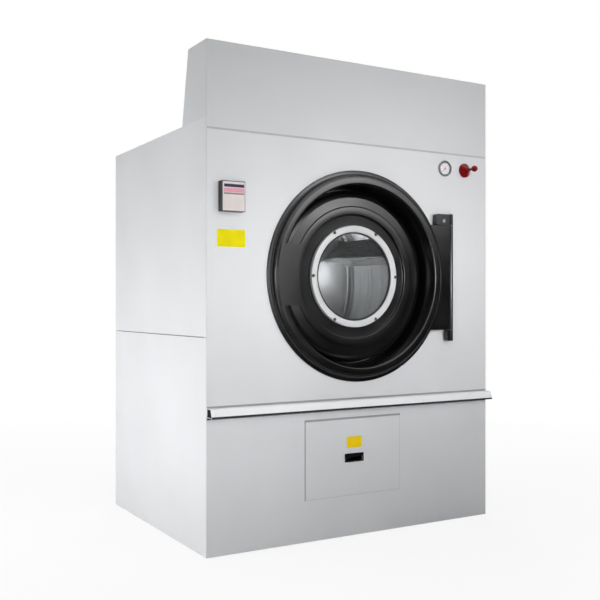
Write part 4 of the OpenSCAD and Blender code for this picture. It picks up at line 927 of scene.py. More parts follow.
class HoodTree(NodeTree):
    """Pressed hoods over vent slots: a half-round profile drawn along each slot."""

    def __init__(self) -> None:
        """Builds the tree."""
        super().__init__("hood_field", {"Slot length": 0.2, "Hood depth": 0.008})
        line = self.out("GeometryNodeCurvePrimitiveLine", {
            "Start": self.vector(self.share("Slot length", -0.5), 0.0, 0.0),
            "End": self.vector(self.share("Slot length", 0.5), 0.0, 0.0)})
        arc = self.out("GeometryNodeCurveArc", {
            "Resolution": 9, "Radius": self.inputs["Hood depth"], "Start Angle": 0.0,
            "Sweep Angle": math.pi})
        self.end(self.out("GeometryNodeCurveToMesh", {0: line, 1: arc, "Fill Caps": True}))


class Trees:
    """The geometry node trees, made once."""

    def __init__(self) -> None:
        """Builds each tree."""
        self.fasteners = FastenerTree()
        self.slabs = SlabTree()
        self.hoods = HoodTree()


@dataclass(frozen=True)
class Lamp:
    """A soft rectangular lamp that the camera doesn't see, in metres, watts and degrees."""

    name: str
    place: Place
    aim: Place
    size: Pair
    power: float
    spread: float = 180.0
    behind_glass: bool = False

    def build(self) -> None:
        """Sets the lamp up, and hides one behind glass from rays that pass through it."""
        data = bpy.data.lights.new(self.name, "AREA")
        data.shape, data.size, data.size_y, data.energy = "RECTANGLE", *self.size, self.power
        data.spread = math.radians(self.spread)
        lamp = placed(self.name, data)
        lamp.location = self.place
        lamp.visible_camera = False
        lamp.visible_transmission = not self.behind_glass
        run = Vector(self.aim) - Vector(self.place)
        lamp.rotation_euler = run.to_track_quat("-Z", "Y").to_euler()


LAMPS = (
    Lamp("band", (-0.3, -2.5, 1.25), (0.1, -0.6, 1.25), (2.6, 0.3), 3.8, 60.0),
    Lamp("high_front", (0.0, -2.6, 2.3), (0.0, -0.6, 1.9), (2.4, 0.5), 3.6, 90.0),
    Lamp("low_front", (-1.6, -2.2, 0.45), (-0.6, -0.6, 0.4), (1.2, 0.4), 1.9, 70.0),
    Lamp("side_beam", (-3.1, 0.0, 0.55), (-0.8, 0.0, 0.5), (2.6, 0.4), 3.1, 70.0),
    Lamp("side_wide", (-4.2, 0.4, 1.2), (-0.8, 0.0, 1.0), (2.5, 1.2), 31.0, 120.0),
    Lamp("side_rear", (-3.4, 1.2, 0.9), (-0.8, 0.4, 0.8), (1.2, 0.8), 2.1, 90.0),
    Lamp("overhead", (0.0, -0.2, 5.2), (0.0, 0.0, 0.0), (3.5, 3.5), 100.0),
    *(Lamp(f"mirror_{name}", (x, -4.0, z), (0.0, -0.6, 1.2), (0.9, 0.9), power)
      for name, x, z, power in (("left", 1.0, 2.2, 1.6), ("low", 1.0, 1.3, 5.0),
                                ("middle", 1.9, 2.2, 11.8), ("right", 2.8, 2.2, 5.3))),
    Lamp("drum_low", (0.0, -0.2, 0.85), (0.42, 0.1, 1.33), (0.2, 0.1), 2.4, 80.0, True),
    Lamp("drum_plate", (0.50, 0.17, 1.27), (0.35, 0.364, 1.22), (0.16, 0.16), 0.13, 120.0, True),
    Lamp("drum_top", (0.38, 0.34, 1.38), (0.52, 0.2, 1.47), (0.12, 0.05), 0.04, 120.0, True),
    Lamp("rear_soft", (2.4, 4.6, 2.4), (0.0, 0.0, 1.1), (3.0, 3.0), 130.0),
)


@dataclass
class Studio:
    """Camera, lamps, world and floor."""

    camera_place: Place = (-2321.6, -3405.1, 1077.3)
    yaw: float = 30.43
    focal_px: float = 880.2
    horizon_px: float = 304.0
    sensor: float = 36.0
    far: float = 200.0
    floor_size: float = 60.0
    floor_fade: Pair = (1.0, 4.5)
    floor_glow: Pair = (0.86, 1.0)
    floor_colour: Colour = (0.86, 0.86, 0.87)
    floor_mirrored: Colour = (0.05, 0.05, 0.052)
    ambient: float = 0.16
    mirror_fade: Pair = (-0.12, 0.45)
    mirror_light: Pair = (0.005, 0.25)

    def camera(self) -> None:
        """Sets the camera where the photograph was taken."""
        data = bpy.data.cameras.new("camera")
        data.sensor_width = self.sensor
        data.lens = self.focal_px / IMAGE_PX * self.sensor
        data.shift_y = (self.horizon_px - IMAGE_PX / 2) / IMAGE_PX
        data.clip_end = self.far
        camera = placed("camera", data)
        x, y, z = self.camera_place
        camera.location = (x * MM, FRONT_Y + y * MM, z * MM)
        camera.rotation_euler = (math.pi / 2, 0.0, -math.radians(self.yaw))
        bpy.context.scene.camera = camera

    def world(self) -> None:
        """Sets a world that lights softly, shows as white and is darker low down in mirrors."""
        world = bpy.data.worlds.new("studio")
        world.use_nodes = True
        graph = Graph(world.node_tree)
        way = graph.add("ShaderNodeTexCoord").outputs["Generated"]
        height = graph.add("ShaderNodeSeparateXYZ", {0: way}).outputs[2]
        mirrored = graph.remap(height, self.mirror_fade, self.mirror_light)
        path = graph.add("ShaderNodeLightPath").outputs
        soft = graph.blend(path["Is Glossy Ray"], self.ambient, mirrored)
        clear = graph.math("MAXIMUM", path["Is Camera Ray"], path["Is Transmission Ray"])
        light = graph.out("ShaderNodeBackground", {0: (1.0, 1.0, 1.0, 1.0),
                                                   1: graph.blend(clear, soft, 1.0)})
        graph.add("ShaderNodeOutputWorld", {0: light})
        bpy.context.scene.world = world

    def floor(self) -> None:
        """Lays a plain pale floor that keeps the machine's shadow, with a painted dark
        reflection.
        """
        half = self.floor_size / 2
        data = bpy.data.meshes.new("floor")
        data.from_pydata([(*corner, 0) for corner in rectangle((-half, half), (-half, half))],
                         [], [(0, 1, 2, 3)])
        floor = placed("floor", data)
        graph = Shader("studio_floor")
        path = graph.add("ShaderNodeLightPath").outputs
        # Painted reflection: glossy rays see the floor near black, so shiny surfaces show a dark
        # floor.
        matt = graph.out("ShaderNodeBsdfDiffuse", {0: graph.mix(
            path["Is Glossy Ray"], self.floor_colour, self.floor_mirrored)})
        glow = graph.out("ShaderNodeEmission", {0: (1.0, 1.0, 1.0, 1.0), 1: 1.0})
        away = graph.add("ShaderNodeVectorMath", {0: graph.place},
                         operation="LENGTH").outputs["Value"]
        seen = graph.math("MULTIPLY", path["Is Camera Ray"],
                          graph.remap(away, self.floor_fade, self.floor_glow))
        graph.close(graph.out("ShaderNodeMixShader", {0: seen, 1: matt, 2: glow}))
        data.materials.append(graph.material)

    def build(self) -> None:
        """Sets up the whole studio."""
        bpy.context.scene.view_settings.view_transform = "Standard"
        self.camera()
        self.world()
        for lamp in LAMPS:
            lamp.build()
        self.floor()
        log.info("studio set")


class Carcass:
    """The frame's own nodes, which keep their shape and take a finish."""

    # The header takes the darker copy of the panel paint, which is painted shade.
    OWN = {"header_shell": Coats.HEADER_SHADED, "drum_lifters": Coats.LIFTER}

    def build(self) -> None:
        """Gives every CAD node the finish of its slot, or its own."""
        finishes = [value for value in vars(Coats).values() if isinstance(value, Finish)]
        by_slot = {finish.slot: finish for finish in reversed(finishes)}
        for part in frame["record"]["subparts"]:
            node = frame["nodes"][part["node"]]
            finish = self.OWN.get(part["node"], by_slot[part["material_slot"]])
            node.data.materials.clear()
            node.data.materials.append(finish.material())
            log.info("%s keeps its shape, finished as %s", part["node"], finish.label)


@dataclass
class Door:
    """The pressed round door with its window and seals, and the hinge brackets."""

    rim_r: float = 469.0
    reach: float = 34.0
    back: float = 12.0
    seal_inner_r: float = 445.0
    seal_t: float = 3.7
    seal_reach: float = 7.0
    face_w: float = 45.0
    channel_d: float = 107.5
    draft: float = 7.0
    floor_w: float = 12.0
    groove_r: float = 459.0
    groove_d: float = 2.2
    groove_w: Pair = (3.0, 1.5)
    dome_d: float = 52.0
    dome_run: Pair = (4.0, 33.0)
    cone_r: float = 327.0
    cone_d: float = 38.0
    cone_lead: Pair = (5.0, 3.5)
    cone_edge: float = 4.0
    step_r: float = 290.0
    seat_d: float = 50.0
    sight_r: float = 205.0
    sheet: float = 3.0
    ring_r: float = 239.0
    ring_w: float = 30.0
    ring_t: float = 18.0
    ring_slope: Pair = (9.0, 3.5)
    screw_r: float = 232.0
    screw_d: float = 3.0
    gasket_d: float = 40.0
    gasket_lip: Pair = (8.0, 1.6)
    gasket_t: float = 1.0
    rebate_gap: float = 0.3
    knuckle_r: float = 11.0
    bracket_h: float = 55.0
    bracket_corner: float = 12.0
    bracket_past: float = 3.0
    bracket_front: float = 5.5
    bracket_foot: float = 8.0
    lower_reach: float = 25.0
    bolt_in: Pair = (46.0, 34.0)
    bolt_front: float = 7.0

    def shell(self) -> None:
        """Turns the pressed shell with its groove, deep channel and domed dish."""
        face_r, face_y = self.rim_r - self.face_w, -self.reach
        channel_r = face_r - self.draft
        foot_r = channel_r - self.floor_w
        start = [(self.seal_inner_r, -self.back), (self.rim_r, -self.back), (self.rim_r, face_y)]
        dish = [(face_r, face_y), (channel_r, self.channel_d), (foot_r, self.channel_d),
                (foot_r - self.dome_run[0], self.dome_d),
                (foot_r - self.dome_run[1], self.cone_d + self.cone_lead[0]),
                (self.cone_r + self.cone_edge, self.cone_d + self.cone_lead[1]),
                (self.cone_r, self.cone_d), (self.step_r, self.cone_d),
                (self.step_r, self.seat_d), (self.sight_r, self.seat_d)]
        bends = [8, 5, 6, 24, 20, 2, 3, 4, 3, 0]
        wide, narrow = self.groove_w
        slot = [(self.groove_r + wide, face_y), (self.groove_r + narrow, self.groove_d + face_y),
                (self.groove_r - narrow, self.groove_d + face_y), (self.groove_r - wide, face_y)]
        front = rounded(start + slot + dish, [0, 1, 6, 0.8, 0.5, 0.5, 0.8] + bends)
        plain = rounded(start + dish, [0, 1, 6] + bends)
        Shape().turned(front + walled(plain, self.sheet)[len(plain):], segments=220).piece(
            "pressed_door", Coats.BLACK, ["door_shell", "door_dish"], Body.DOOR, crease=40)

    def seals(self) -> None:
        """Turns the rim's rubber seal with its rounded lip, and the window's gasket."""
        rim = rounded(rectangle((self.seal_inner_r, self.rim_r + self.seal_reach),
                                (-self.back, self.seal_t - self.back)),
                      [1, 1.6, 1.6, 1], closed=True, steps=4)
        x, y, _ = spans("window_glass")
        inner, outer = self.ring_r - self.ring_w, x[1] - self.gasket_t
        under, lip_y = inner - self.gasket_lip[0], self.gasket_d - self.gasket_lip[1]
        land = inner + self.gasket_t
        lip = rounded([(under, lip_y), (land, lip_y), (land, self.gasket_d),
                       (outer, self.gasket_d), (outer, y[0]), (under, y[0])],
                      [1.2, 0, 0, 0, 0, 0.8], closed=True, steps=4)
        Shape().turned(rim, segments=180).turned(lip, segments=180).piece(
            "door_gaskets", Coats.SEAL, ["door_seals"], Body.DOOR)

    def window(self, trees: Trees) -> None:
        """Turns the window ring, with a sloping inner edge, and sets its six dark screws.

        Args:
            trees: Geometry node trees of the fixings.
        """
        front, inner = self.seat_d - self.ring_t, self.ring_r - self.ring_w
        x, y, _ = spans("window_glass")
        rebate = x[1] + self.rebate_gap
        outline = rounded([(inner, front + self.ring_slope[1]),
                           (inner + self.ring_slope[0], front), (self.ring_r, front),
                           (self.ring_r, y[1]), (rebate, y[1]), (rebate, self.gasket_d),
                           (inner, self.gasket_d)], [1.5, 3, 2.5, 0.5, 0, 0, 0.5], closed=True,
                          steps=5)
        Shape().turned(outline, segments=200).piece("window_frame", Coats.RING, ["window_ring"],
                                                    Body.DOOR)
        screws = circle_places(self.screw_r, spans("window_screws")[1][0] + self.screw_d, 6)
        trees.fasteners.grow("window_ring_screws", screws, Coats.CAST, ["window_screws"],
                             Body.DOOR, Head_radius=0.0074, Head_height=0.0055, Sides=24,
                             Washer=1.0, Cross=True, Seed=3)

    def brackets(self, trees: Trees) -> None:
        """Builds the two fixed brackets with rounded ends, and the bolt of the upper one.

        Args:
            trees: Geometry node trees of the fixings.
        """
        x, y, z = spans("hinge_brackets")
        pin = (x[1] - self.knuckle_r, y[0] + self.knuckle_r)
        shape = Shape()
        for start, level in ((x[0], (z[1] - self.bracket_h, z[1])),
                             (pin[0] - self.lower_reach, (z[0], z[0] + self.bracket_h))):
            corner = min(self.bracket_corner, (pin[0] - start) / 2)
            outline = rounded(rectangle((start, pin[0] + self.bracket_past), level),
                              [corner, 0, 0, corner], closed=True, steps=8)
            shape.prism(outline, (pin[1] - self.bracket_front, -self.seal_t))
            shape.block((start + corner, x[1]), (-self.bracket_foot, 0.0), level)
            shape.rod((*pin, level[0]), (*pin, level[1]), self.knuckle_r, 48)
        shape.piece("hinge_fixing", Coats.BLACK, ["hinge_brackets"], edge=1.0)
        bolt = (x[0] + self.bolt_in[0], pin[1] - self.bolt_front, z[1] - self.bolt_in[1])
        trees.fasteners.grow("bracket_bolt", [bolt], Coats.BOLT, Sides=6, Head_radius=0.007,
                             Head_height=0.004)

    def build(self, trees: Trees) -> None:
        """Builds the door's pieces.

        Args:
            trees: Geometry node trees of the fixings.
        """
        self.shell()
        self.seals()
        self.window(trees)
        self.brackets(trees)


@dataclass
class Drum:
    """The mouth collar and the drum behind it."""

    mouth_r: float = 437.0
    flange_r: float = 492.0
    flange_t: float = 8.0
    lip_r: float = 446.0
    lip_d: float = 15.0
    drum_r: float = 570.0
    sheet: float = 3.0
    bead: float = 7.0
    bead_run: tuple[float, ...] = (60.0, 50.0, 42.0, 32.0)
    hub_r: float = 40.0
    plate_y: Pair = (5.0, 3.4)
    plate_in: Pair = (22.0, 18.0)

    def mouth(self) -> None:
        """Turns the mouth flange and its collar."""
        end, outer = spans("mouth_ring")[1][1], self.mouth_r + self.sheet
        outline = rounded([(self.mouth_r, -self.flange_t), (self.flange_r, -self.flange_t),
                           (self.flange_r, 0), (outer, 0), (outer, end), (self.mouth_r, end)],
                          [3, 3, 0, 0, 1, 1], closed=True, steps=5)
        Shape().turned(outline, segments=200).piece("mouth_collar", Coats.BLACK,
                                                    ["mouth_ring", "door_catch"])

    def shell(self) -> None:
        """Turns the drum, with a rolled bead near its back plate."""
        front, back = spans("drum_shell")[1]
        bead_r = self.drum_r - self.bead
        bead = [(radius, back - run) for radius, run in
                zip((self.drum_r, bead_r, bead_r, self.drum_r), self.bead_run)]
        path = [(self.lip_r, front + self.lip_d), (self.lip_r, front), (self.drum_r, front),
                *bead, (self.drum_r, back), (self.hub_r, back)]
        bends = rounded(path, [0, 4, 8, 6, 5, 5, 6, 12, 0])
        Shape().turned(walled(bends, self.sheet), segments=240).piece(
            "drum_wall", Coats.DRUM, ["drum_shell"], Body.DRUM, crease=40)
        front_y, back_y = (back - depth for depth in self.plate_y)
        plate = [(self.hub_r, front_y), (self.drum_r - self.plate_in[0], front_y),
                 (self.drum_r - self.plate_in[1], back_y), (self.hub_r, back_y)]
        # The back plate takes the lighter copy of the stainless, which is painted light.
        Shape().turned(plate).piece("drum_back_plate", Coats.BACK_PLATE_LIT, body=Body.DRUM)

    def build(self) -> None:
        """Builds the collar and the drum."""
        self.mouth()
        self.shell()


@dataclass
class Ledge:
    """The bright folded rail across the front, with its plugs and strips of painted shade."""

    sheet: float = 2.0
    drop: float = 8.0
    slope: float = 14.0
    wall_up: float = 8.0
    hem: float = 15.0
    # The strip, bead and trim below colour the shade lines at the rail: painted shade.
    shadow_strip_z: Pair = (9.0, 2.0)
    seal_t: float = 1.8
    shade_bead_t: float = 1.4
    trim_h: float = 8.0
    trim_t: float = 1.2
    trim_gap: Pair = (0.5, 0.1)
    plug: Pair = (1.0, 6.0)
    plug_up: float = 4.0
    plug_gap: Pair = (3.0, 3.5)

    def build(self) -> None:
        """Draws the rail's bent profile, and adds its plugs and strips of painted shade."""
        x, y, z = spans("ledge_rail")
        foot, crown = y[0], z[1] - self.drop
        top = foot + self.slope
        path = [(0, z[0] + self.wall_up), (0, crown), (top, crown), (foot, z[0]),
                (self.hem + foot, z[0])]
        outline = walled(rounded(path, [0, 2.5, 6, 4, 0], steps=5), -self.sheet)
        Shape().prism(outline, x, Axis.X).piece("front_rail", Coats.LEDGE, ["ledge_rail"],
                                                crease=40)
        # The black end plugs close the rail's open ends, and their black also paints the shade
        # inside them.
        (near, far), (gap, low_gap) = self.plug, self.plug_gap
        low, high = z[0] + self.plug_up, crown - gap
        inside = [(-near, low), (-near, high), (gap + top, high), (low_gap + foot, low)]
        Shape().prism(inside, (x[0] + near, x[0] + far), Axis.X).prism(
            inside, (x[1] - far, x[1] - near), Axis.X).piece(
                "rail_end_plugs", Coats.BLACK_PLASTIC, edge=0.5)
        # Painted shadow: a black strip on the panel just under the rail, where its shadow falls.
        slab("rail_shadow_strip", Coats.RUBBER, x, (-self.seal_t, 0.0),
             (z[0] - self.shadow_strip_z[0], z[0] - self.shadow_strip_z[1]), 0.5)
        # Painted shade: a grey strip on the panel along the rail's top edge.
        slab("rail_shade_bead", Coats.SHADE_GREY, x, (-self.shade_bead_t, 0.0), (crown + 0.3, z[1]), 0.6)
        # Painted shade: a black strip along the lowest part of the rail's face.
        low_y = foot - self.trim_gap[0]
        high_y = self.trim_h * self.slope / (crown - z[0]) + low_y
        low, high = z[0] + 1, z[0] + self.trim_h
        foot_y = foot - self.trim_gap[1]
        trim = [(foot_y, low), (high_y, high), (high_y + self.trim_t, high),
                (foot_y + self.trim_t, low)]
        Shape().prism(trim, x, Axis.X).piece("rail_shade_trim", Coats.RUBBER)


@dataclass
class Controls:
    """The control box, the dial thermometer and the stop button."""

    film_t: float = 1.4
    film_in: float = 3.5
    housing_in: float = 1.2
    label_in: Pair = (6.0, 3.0)
    label_in_film: float = 0.05
    sill_gap: float = 0.5
    key_rows: Pair = (22.0, 46.0)
    key_in: float = 12.0
    bezel_w: float = 5.2
    bezel_lip: float = 1.5
    bezel_land: Pair = (4.0, 2.0)
    bezel_skirt: float = 4.0
    bezel_seat: float = 10.0
    can_in: float = 9.0
    can_y: Pair = (2.0, 28.0)
    probe: tuple[Pair, ...] = ((8.0, 28.0), (8.0, 36.0), (4.0, 40.0))
    mark_r: Pair = (3.0, 13.0)
    dial_y: float = -4.0
    dial_ticks: int = 28
    dial_start: float = 225.0
    dial_sweep: float = 270.0
    tick_in: float = 4.0
    number_in: float = 11.5
    number_h: float = 5.6
    needle_w: float = 0.045
    needle_tail: float = 0.2
    needle_y: Pair = (1.0, 1.6)
    hub_r: float = 2.4
    hub_y: float = 0.2
    stop_bore: float = 6.05
    bell_lip: float = 3.0
    bell_waist: Pair = (24.0, 9.0)
    bell_flare: Pair = (13.0, 20.0)
    bell_rim: Pair = (2.0, 6.0)
    shank_r: float = 9.7
    stem_r: float = 6.0
    ball_turn: tuple[int, int] = (157, 12)
    ball_neck: float = 3.0

    def box(self, trees: Trees) -> None:
        """Builds the control box with its film, display and keys.

        Args:
            trees: Geometry node trees of the fixings.
        """
        x, _, z = spans("control_box")
        front = spans("control_keypad")[1][0]
        slab("control_housing", Coats.BOX, x, (front + self.housing_in, 0.0), z, 3.0,
             ["control_box"])
        film_x = (x[0] + self.film_in, x[1] - self.film_in)
        film_y = (front, front + self.film_t)
        low, top = z[0] + self.film_in, z[1]
        slab("control_film", Coats.FILM, film_x, film_y, (low, top - self.film_in), 0.6,
             ["control_keypad"])
        inner = (film_x[0] + self.label_in[0], film_x[1] - self.label_in[1])
        face = front + self.label_in_film
        for name, finish, height, down, edge in (
                ("control_display", Coats.DISPLAY, 0.4, (27, 14), 0.15),
                ("control_band", Coats.PINK, 0.25, (49, 31), 0.1),
                ("control_line", Coats.SILL, 0.3, (58, 51.5), 0.1)):
            slab(name, finish, inner, (face - height, face), (top - down[0], top - down[1]), edge)
        slab("control_sill", Coats.SILL, (film_x[0], x[1]), film_y, (z[0], low - self.sill_gap),
             0.5)
        keys = [point for up in self.key_rows
                for point in along((inner[0] + self.key_in, face - 0.1, z[0] + up),
                                   (inner[1] - self.key_in, face - 0.1, z[0] + up), 4)]
        trees.slabs.grow("control_keys", keys, Coats.FILM, Size=(0.015, 0.0007, 0.012))

    def on_dial(self, radius: float, share: float, lift: float) -> Place:
        """Finds a place on the dial.

        Args:
            radius: Distance from the middle of the dial.
            share: Share of the sweep, from 0 to 1.
            lift: Height above the dial.

        Returns:
            The place.
        """
        x, z = middle("thermometer_body")
        turn = math.radians(self.dial_start - self.dial_sweep * share)
        return x + radius * math.cos(turn), self.dial_y - lift, z + radius * math.sin(turn)

    def thermometer(self, trees: Trees) -> None:
        """Builds the bezel, and the dial with its ticks and numbers.

        Args:
            trees: Geometry node trees of the fixings.
        """
        x, z = middle("thermometer_body")
        across, (front, back), _ = spans("thermometer_body")
        outer, face = across[1] - x, self.dial_y
        well = outer - self.bezel_w
        seat = outer - self.bezel_seat
        bezel = rounded([(well, face), (well, front + self.bezel_lip),
                         *((outer - inwards, front) for inwards in self.bezel_land),
                         (outer, front + self.bezel_skirt), (outer, 0), (seat, 0), (seat, face)],
                        [0, 1, 2, 2, 2, 0, 0, 0], closed=True, steps=5)
        Shape().turned(bezel, x, z, 96).piece("dial_bezel", Coats.BEZEL, ["thermometer_body"])
        can = outer - self.can_in
        stem = [(0, face), (well + 1, face), (well + 1, self.can_y[0]), (can, self.can_y[0]),
                (can, self.can_y[1]), *self.probe, (self.probe[-1][0], back), (0, back)]
        Shape().turned(stem, x, z, 72).piece("dial_plate", Coats.DIAL)
        mark = rectangle(self.mark_r, (face - 0.25, face))
        Shape().turned(mark, x, z, 48).piece("dial_mark", Coats.BLUSH)
        gaps = self.dial_ticks - 1
        ticks = [self.on_dial(well - self.tick_in, i / gaps, 0.1) for i in range(self.dial_ticks)]
        trees.slabs.grow("dial_ticks", ticks, Coats.TICK, Size=(0.005, 0.0004, 0.0009),
                         First_turn=-math.radians(self.dial_start),
                         Turn_step=math.radians(self.dial_sweep / gaps))
        self.needle()
        for i, number in enumerate(("0", "50", "100", "150")):
            self.number(number, self.on_dial(well - self.number_in, i / 3, 0.15))

    def needle(self) -> None:
        """Builds the needle, from a tail behind the hub to the tip that the frame gives."""
        x, z = middle("thermometer_body")
        across, y, up = spans("thermometer_needle")
        tip = (max(across, key=lambda end: abs(end - x)), max(up, key=lambda end: abs(end - z)))
        run = (tip[0] - x, tip[1] - z)
        tail = (x - run[0] * self.needle_tail, z - run[1] * self.needle_tail)
        side = (-run[1] * self.needle_w, run[0] * self.needle_w)
        blade = [(tail[0] + side[0], tail[1] + side[1]), tip,
                 (tail[0] - side[0], tail[1] - side[1])]
        Shape().prism(blade, (y[0] + self.needle_y[0], y[0] + self.needle_y[1])).rod(
            (x, y[0] + self.hub_y, z), (x, y[1], z), self.hub_r, 24).piece(
                "dial_needle", Coats.POINTER, ["thermometer_needle"], Body.NEEDLE)

    def number(self, text: str, place: Place) -> None:
        """Sets a number on the dial.

        Args:
            text: Digits to set.
            place: Middle of the number.
        """
        name = f"dial_number_{text}"
        curve = bpy.data.curves.new(name, "FONT")
        curve.body, curve.size, curve.extrude = text, self.number_h * MM, 0.15 * MM
        curve.align_x, curve.align_y = "CENTER", "CENTER"
        holder = placed(name, curve)
        seen = holder.evaluated_get(bpy.context.evaluated_depsgraph_get())
        data = bpy.data.meshes.new_from_object(seen)
        bpy.data.objects.remove(holder)
        data.transform(Matrix.Translation((place[0] * MM, FRONT_Y + place[1] * MM, place[2] * MM))
                       @ Matrix.Rotation(math.pi / 2, 4, "X"))
        data.materials.clear()
        settle(placed(name, data), Coats.TICK, Body.CABINET)

    def stop(self) -> None:
        """Turns the bell-shaped base and the ball-headed button."""
        x, z = middle("stop_base")
        across, (front, back), _ = spans("stop_base")
        r, bore = across[1] - x, self.stop_bore
        sides = [(r - inwards, front + down) for inwards, down in (self.bell_waist,
                                                                   self.bell_flare)]
        rim_r, shank_r = r - self.bell_rim[0], self.shank_r
        bell = rounded([(bore, front), (bore + self.bell_lip, front), *sides,
                        (rim_r, -self.bell_rim[1]), (rim_r, 0), (shank_r, 0), (shank_r, back),
                        (bore, back)], [0.5, 2, 12, 14, 5, 0, 0, 0, 0], closed=True, steps=7)
        Shape().turned(bell, x, z, 96).piece("stop_bell", Coats.RED, ["stop_base"], crease=50)
        across, ends, _ = spans("stop_plunger")
        ball = across[1] - x
        centre = ends[0] + ball
        arc = [(ball * math.sin(a), centre - ball * math.cos(a))
               for a in map(math.radians, range(0, *self.ball_turn))]
        neck = [(self.stem_r, centre + ball + self.ball_neck), (self.stem_r, ends[1]),
                (0.0, ends[1])]
        Shape().turned(arc + neck, x, z, 64).piece("stop_ball", Coats.RED, ["stop_plunger"],
                                                   Body.STOP, crease=60)

    def build(self, trees: Trees) -> None:
        """Builds the controls.

        Args:
            trees: Geometry node trees of the fixings.
        """
        self.box(trees)
        self.thermometer(trees)
        self.stop()


@dataclass
class Drawer:
    """The lint drawer's pull, and its drip lip and the strip behind its gap, in painted shade."""

    wall: float = 5.0
    skin: float = 2.5
    cup_d: float = 14.0
    floor_t: float = 2.0
    grip_h: float = 9.0
    gap: float = 1.5
    # The lip, bead, strip and filler below are pieces of painted shade.
    lip_h: float = 8.0
    lip_t: float = 2.6
    shade_bead_w: float = 4.5
    shade_bead_t: float = 1.2
    grip_y: Pair = (0.6, 2.0)
    filler_y: Pair = (0.6, 3.0)
    filler_gap: float = 0.2
    shade_strip_w: float = 8.0
    shade_strip_y: Pair = (22.0, 26.0)

    def pull(self) -> None:
        """Builds the recessed pull: a frame, a cup behind it and a grip along its top."""
        x, y, z = spans("drawer_pull")
        front, wall, skin = y[0], self.wall, self.skin
        inner_x, inner_z = (x[0] + wall, x[1] - wall), (z[0] + wall, z[1] - wall)
        cup_x, cup_z = (x[0] + skin, x[1] - skin), (z[0] + skin, z[1] - skin)
        shape = Shape()
        for side_x, side_z in ((x, (z[0], inner_z[0])), (x, (inner_z[1], z[1])),
                               ((x[0], inner_x[0]), inner_z), ((inner_x[1], x[1]), inner_z)):
            shape.block(side_x, (front, 0.0), side_z)
            shape.block((max(side_x[0], cup_x[0]), min(side_x[1], cup_x[1])), (0.0, self.cup_d),
                        (max(side_z[0], cup_z[0]), min(side_z[1], cup_z[1])))
        shape.block(cup_x, (self.cup_d, self.cup_d + self.floor_t), cup_z)
        shape.block(inner_x, (front + self.grip_y[0], self.grip_y[1]),
                    (inner_z[1] - self.grip_h, inner_z[1]))
        shape.piece("drawer_grip", Coats.BLACK_PLASTIC, ["drawer_pull"], Body.DRAWER, edge=0.7)

    def seals(self) -> None:
        """Builds the drip lip, bead, black strip behind the gap and fillers, all painted shade.
        """
        x, _, z = spans("drawer_front")
        out_x, out_z = (x[0] - self.gap, x[1] + self.gap), (z[0] - self.gap, z[1] + self.gap)
        top = out_z[1] + self.lip_h
        # Painted shadow: the drip lip is grey for the shadow line along the drawer's top.
        slab("drip_lip", Coats.SHADE_GREY, out_x, (-self.lip_t, 0.0), (out_z[1], top), 1.0)
        # Painted shade: a grey bead along the left gap.
        slab("drawer_shade_bead", Coats.SHADE_GREY, (out_x[0] - self.shade_bead_w, out_x[0]),
             (-self.shade_bead_t, 0.0), (out_z[0], top), 0.5)
        # Painted shade: a black frame behind the gap darkens it.
        shade_strip, half = Shape(), self.shade_strip_w / 2
        for side in out_x:
            shade_strip.block((side - half, side + half), self.shade_strip_y, out_z)
        for side in out_z:
            shade_strip.block(out_x, self.shade_strip_y, (side - half, side + half))
        shade_strip.piece("drawer_shade_strip", Coats.RUBBER, edge=0.8)
        # Painted shade: grey fillers leave only a faint line in the right and lower gaps.
        filler = Shape().block((x[1], out_x[1] - self.filler_gap), self.filler_y,
                               (out_z[0], z[1]))
        filler.block(x, self.filler_y, (out_z[0] + self.filler_gap, z[0])).piece(
            "drawer_filler", Coats.SHADE_GREY, body=Body.DRAWER)

    def build(self) -> None:
        """Builds the drawer's pieces."""
        self.pull()
        self.seals()


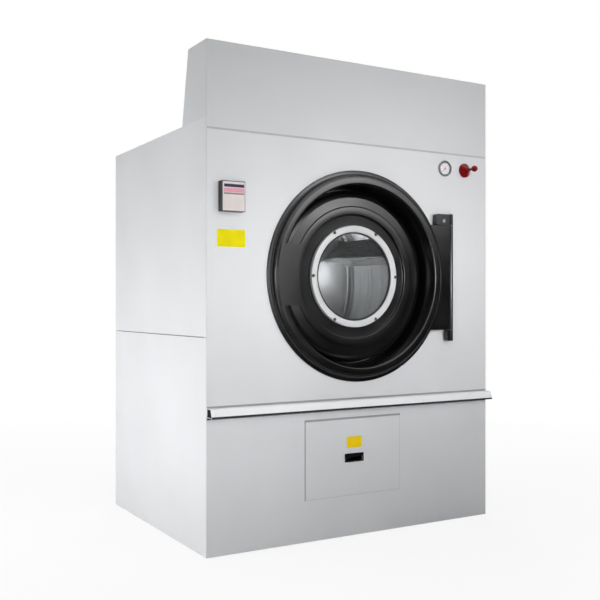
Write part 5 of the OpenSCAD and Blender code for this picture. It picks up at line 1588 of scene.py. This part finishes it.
@dataclass
class Fixings:
    """Screws and rivets of the sheets, and the hoods over the vents in the back."""

    vent_x: float = 330.0
    vent_w: float = 220.0
    vent_h: float = 8.0
    vent_pitch: float = 28.0
    vent_rows: int = 6
    vent_z: Pair = (739.0, 1450.0)
    hood_past: float = 12.0
    panel_in: float = 13.0
    roof_in: Pair = (12.0, 14.0)
    roof_start: Pair = (60.0, 70.0)
    heater_in: float = 14.0
    flange_w: float = 12.0

    SCREW = {"Head_radius": 0.005, "Head_height": 0.0025, "Sides": 16, "Cross": True}
    RIVET = {"Head_radius": 0.0035, "Head_height": 0.002, "Sides": 12}

    def back(self, trees: Trees) -> None:
        """Screws the rear panels on and sets hoods over their vents.

        Args:
            trees: Geometry node trees of the fixings.
        """
        x, (_, y), z = spans("rear_panels")
        seam = middle("ledge_rail")[1]
        points = [(across, y, up) for sheet, rows in (((z[0], seam), 3), ((seam, z[1]), 7))
                  for across, up in round_edge(x, sheet, self.panel_in, 9, rows)]
        facing = (0.0, 1.0, 0.0)
        trees.fasteners.grow("rear_screws", points, Coats.BOLT, Facing=facing, **self.SCREW)
        slots = [(side * self.vent_x, y, base + self.vent_h / 2 + row * self.vent_pitch)
                 for side in (-1, 1) for base in self.vent_z for row in range(self.vent_rows)]
        trees.hoods.grow("vent_hoods", slots, Coats.PANEL, Hood_depth=0.0095,
                         Slot_length=(self.vent_w + self.hood_past) * MM)
        spigot = spans("exhaust_spigot")[0]
        points = circle_places((spigot[1] - spigot[0]) / 2 + self.flange_w, y, 12,
                               *middle("exhaust_spigot"))
        trees.fasteners.grow("spigot_rivets", points, Coats.BOLT, Facing=facing, Seed=11,
                             **self.RIVET)

    def top(self, trees: Trees) -> None:
        """Screws the roof and the heater casing down.

        Args:
            trees: Geometry node trees of the fixings.
        """
        x, (_, back), (_, top) = spans("roof_panel")
        near, far = spans("header_shell")[1][1] + self.roof_start[0], back - self.roof_in[1]
        left, right = x[0] + self.roof_in[0], x[1] - self.roof_in[0]
        start = self.roof_start[1]
        points = along((left, near, top), (left, far, top), 8)
        points += along((right, near, top), (right, far, top), 8)
        points += along((x[0] + start, far, top), (x[1] - start, far, top), 10)
        facing = (0.0, 0.0, 1.0)
        trees.fasteners.grow("roof_screws", points, Coats.BOLT, Facing=facing, Seed=5,
                             **self.SCREW)
        x, y, (_, roof) = spans("heater_casing")
        points = [(*point, roof) for point in round_edge(x, y, self.heater_in, 12, 9)]
        trees.fasteners.grow("heater_rivets", points, Coats.BOLT, Facing=facing, Seed=6,
                             **self.RIVET)

    def build(self, trees: Trees) -> None:
        """Sets every fixing."""
        self.back(trees)
        self.top(trees)


@dataclass
class Plates:
    """The blank yellow plates on the front, and the bead of painted shade under the header."""

    left_x: Pair = (-731.0, -596.0)
    left_z: Pair = (1322.0, 1397.0)
    low_x: Pair = (-70.0, 13.0)
    low_z: Pair = (410.0, 462.0)
    plate_y: Pair = (-0.8, 0.0)
    shade_bead_y: Pair = (-0.7, 0.0)
    shade_bead_z: Pair = (8.0, 3.0)
    gap_y: Pair = (-0.7, 5.0)
    gap_z: Pair = (2.9, 0.1)

    def build(self) -> None:
        """Builds the plates and the painted shade bead, which also fills the gap under the
        header.
        """
        slab("yellow_plate", Coats.YELLOW, self.left_x, self.plate_y, self.left_z, 0.3)
        slab("amber_plate", Coats.AMBER, self.low_x, self.plate_y, self.low_z, 0.3,
             body=Body.DRAWER)
        # Painted shade: a pale grey bead and filler stand for the shade line of the header seam.
        x, z = spans("front_panel")[0], spans("header_shell")[2][0]
        shape = Shape()
        for y, down in ((self.shade_bead_y, self.shade_bead_z), (self.gap_y, self.gap_z)):
            shape.block(x, y, (z - down[0], z - down[1]))
        shape.piece("header_shade_bead", Coats.PALE_SHADE_GREY)


def main() -> None:
    """Builds the studio and every sub-assembly in order."""
    logging.basicConfig(level=logging.INFO, format="%(name)s: %(message)s")
    Studio().build()
    trees = Trees()
    Carcass().build()
    Drum().build()
    Door().build(trees)
    Ledge().build()
    Controls().build(trees)
    Drawer().build()
    Fixings().build(trees)
    Plates().build()


if __name__ == "__main__":
    main()
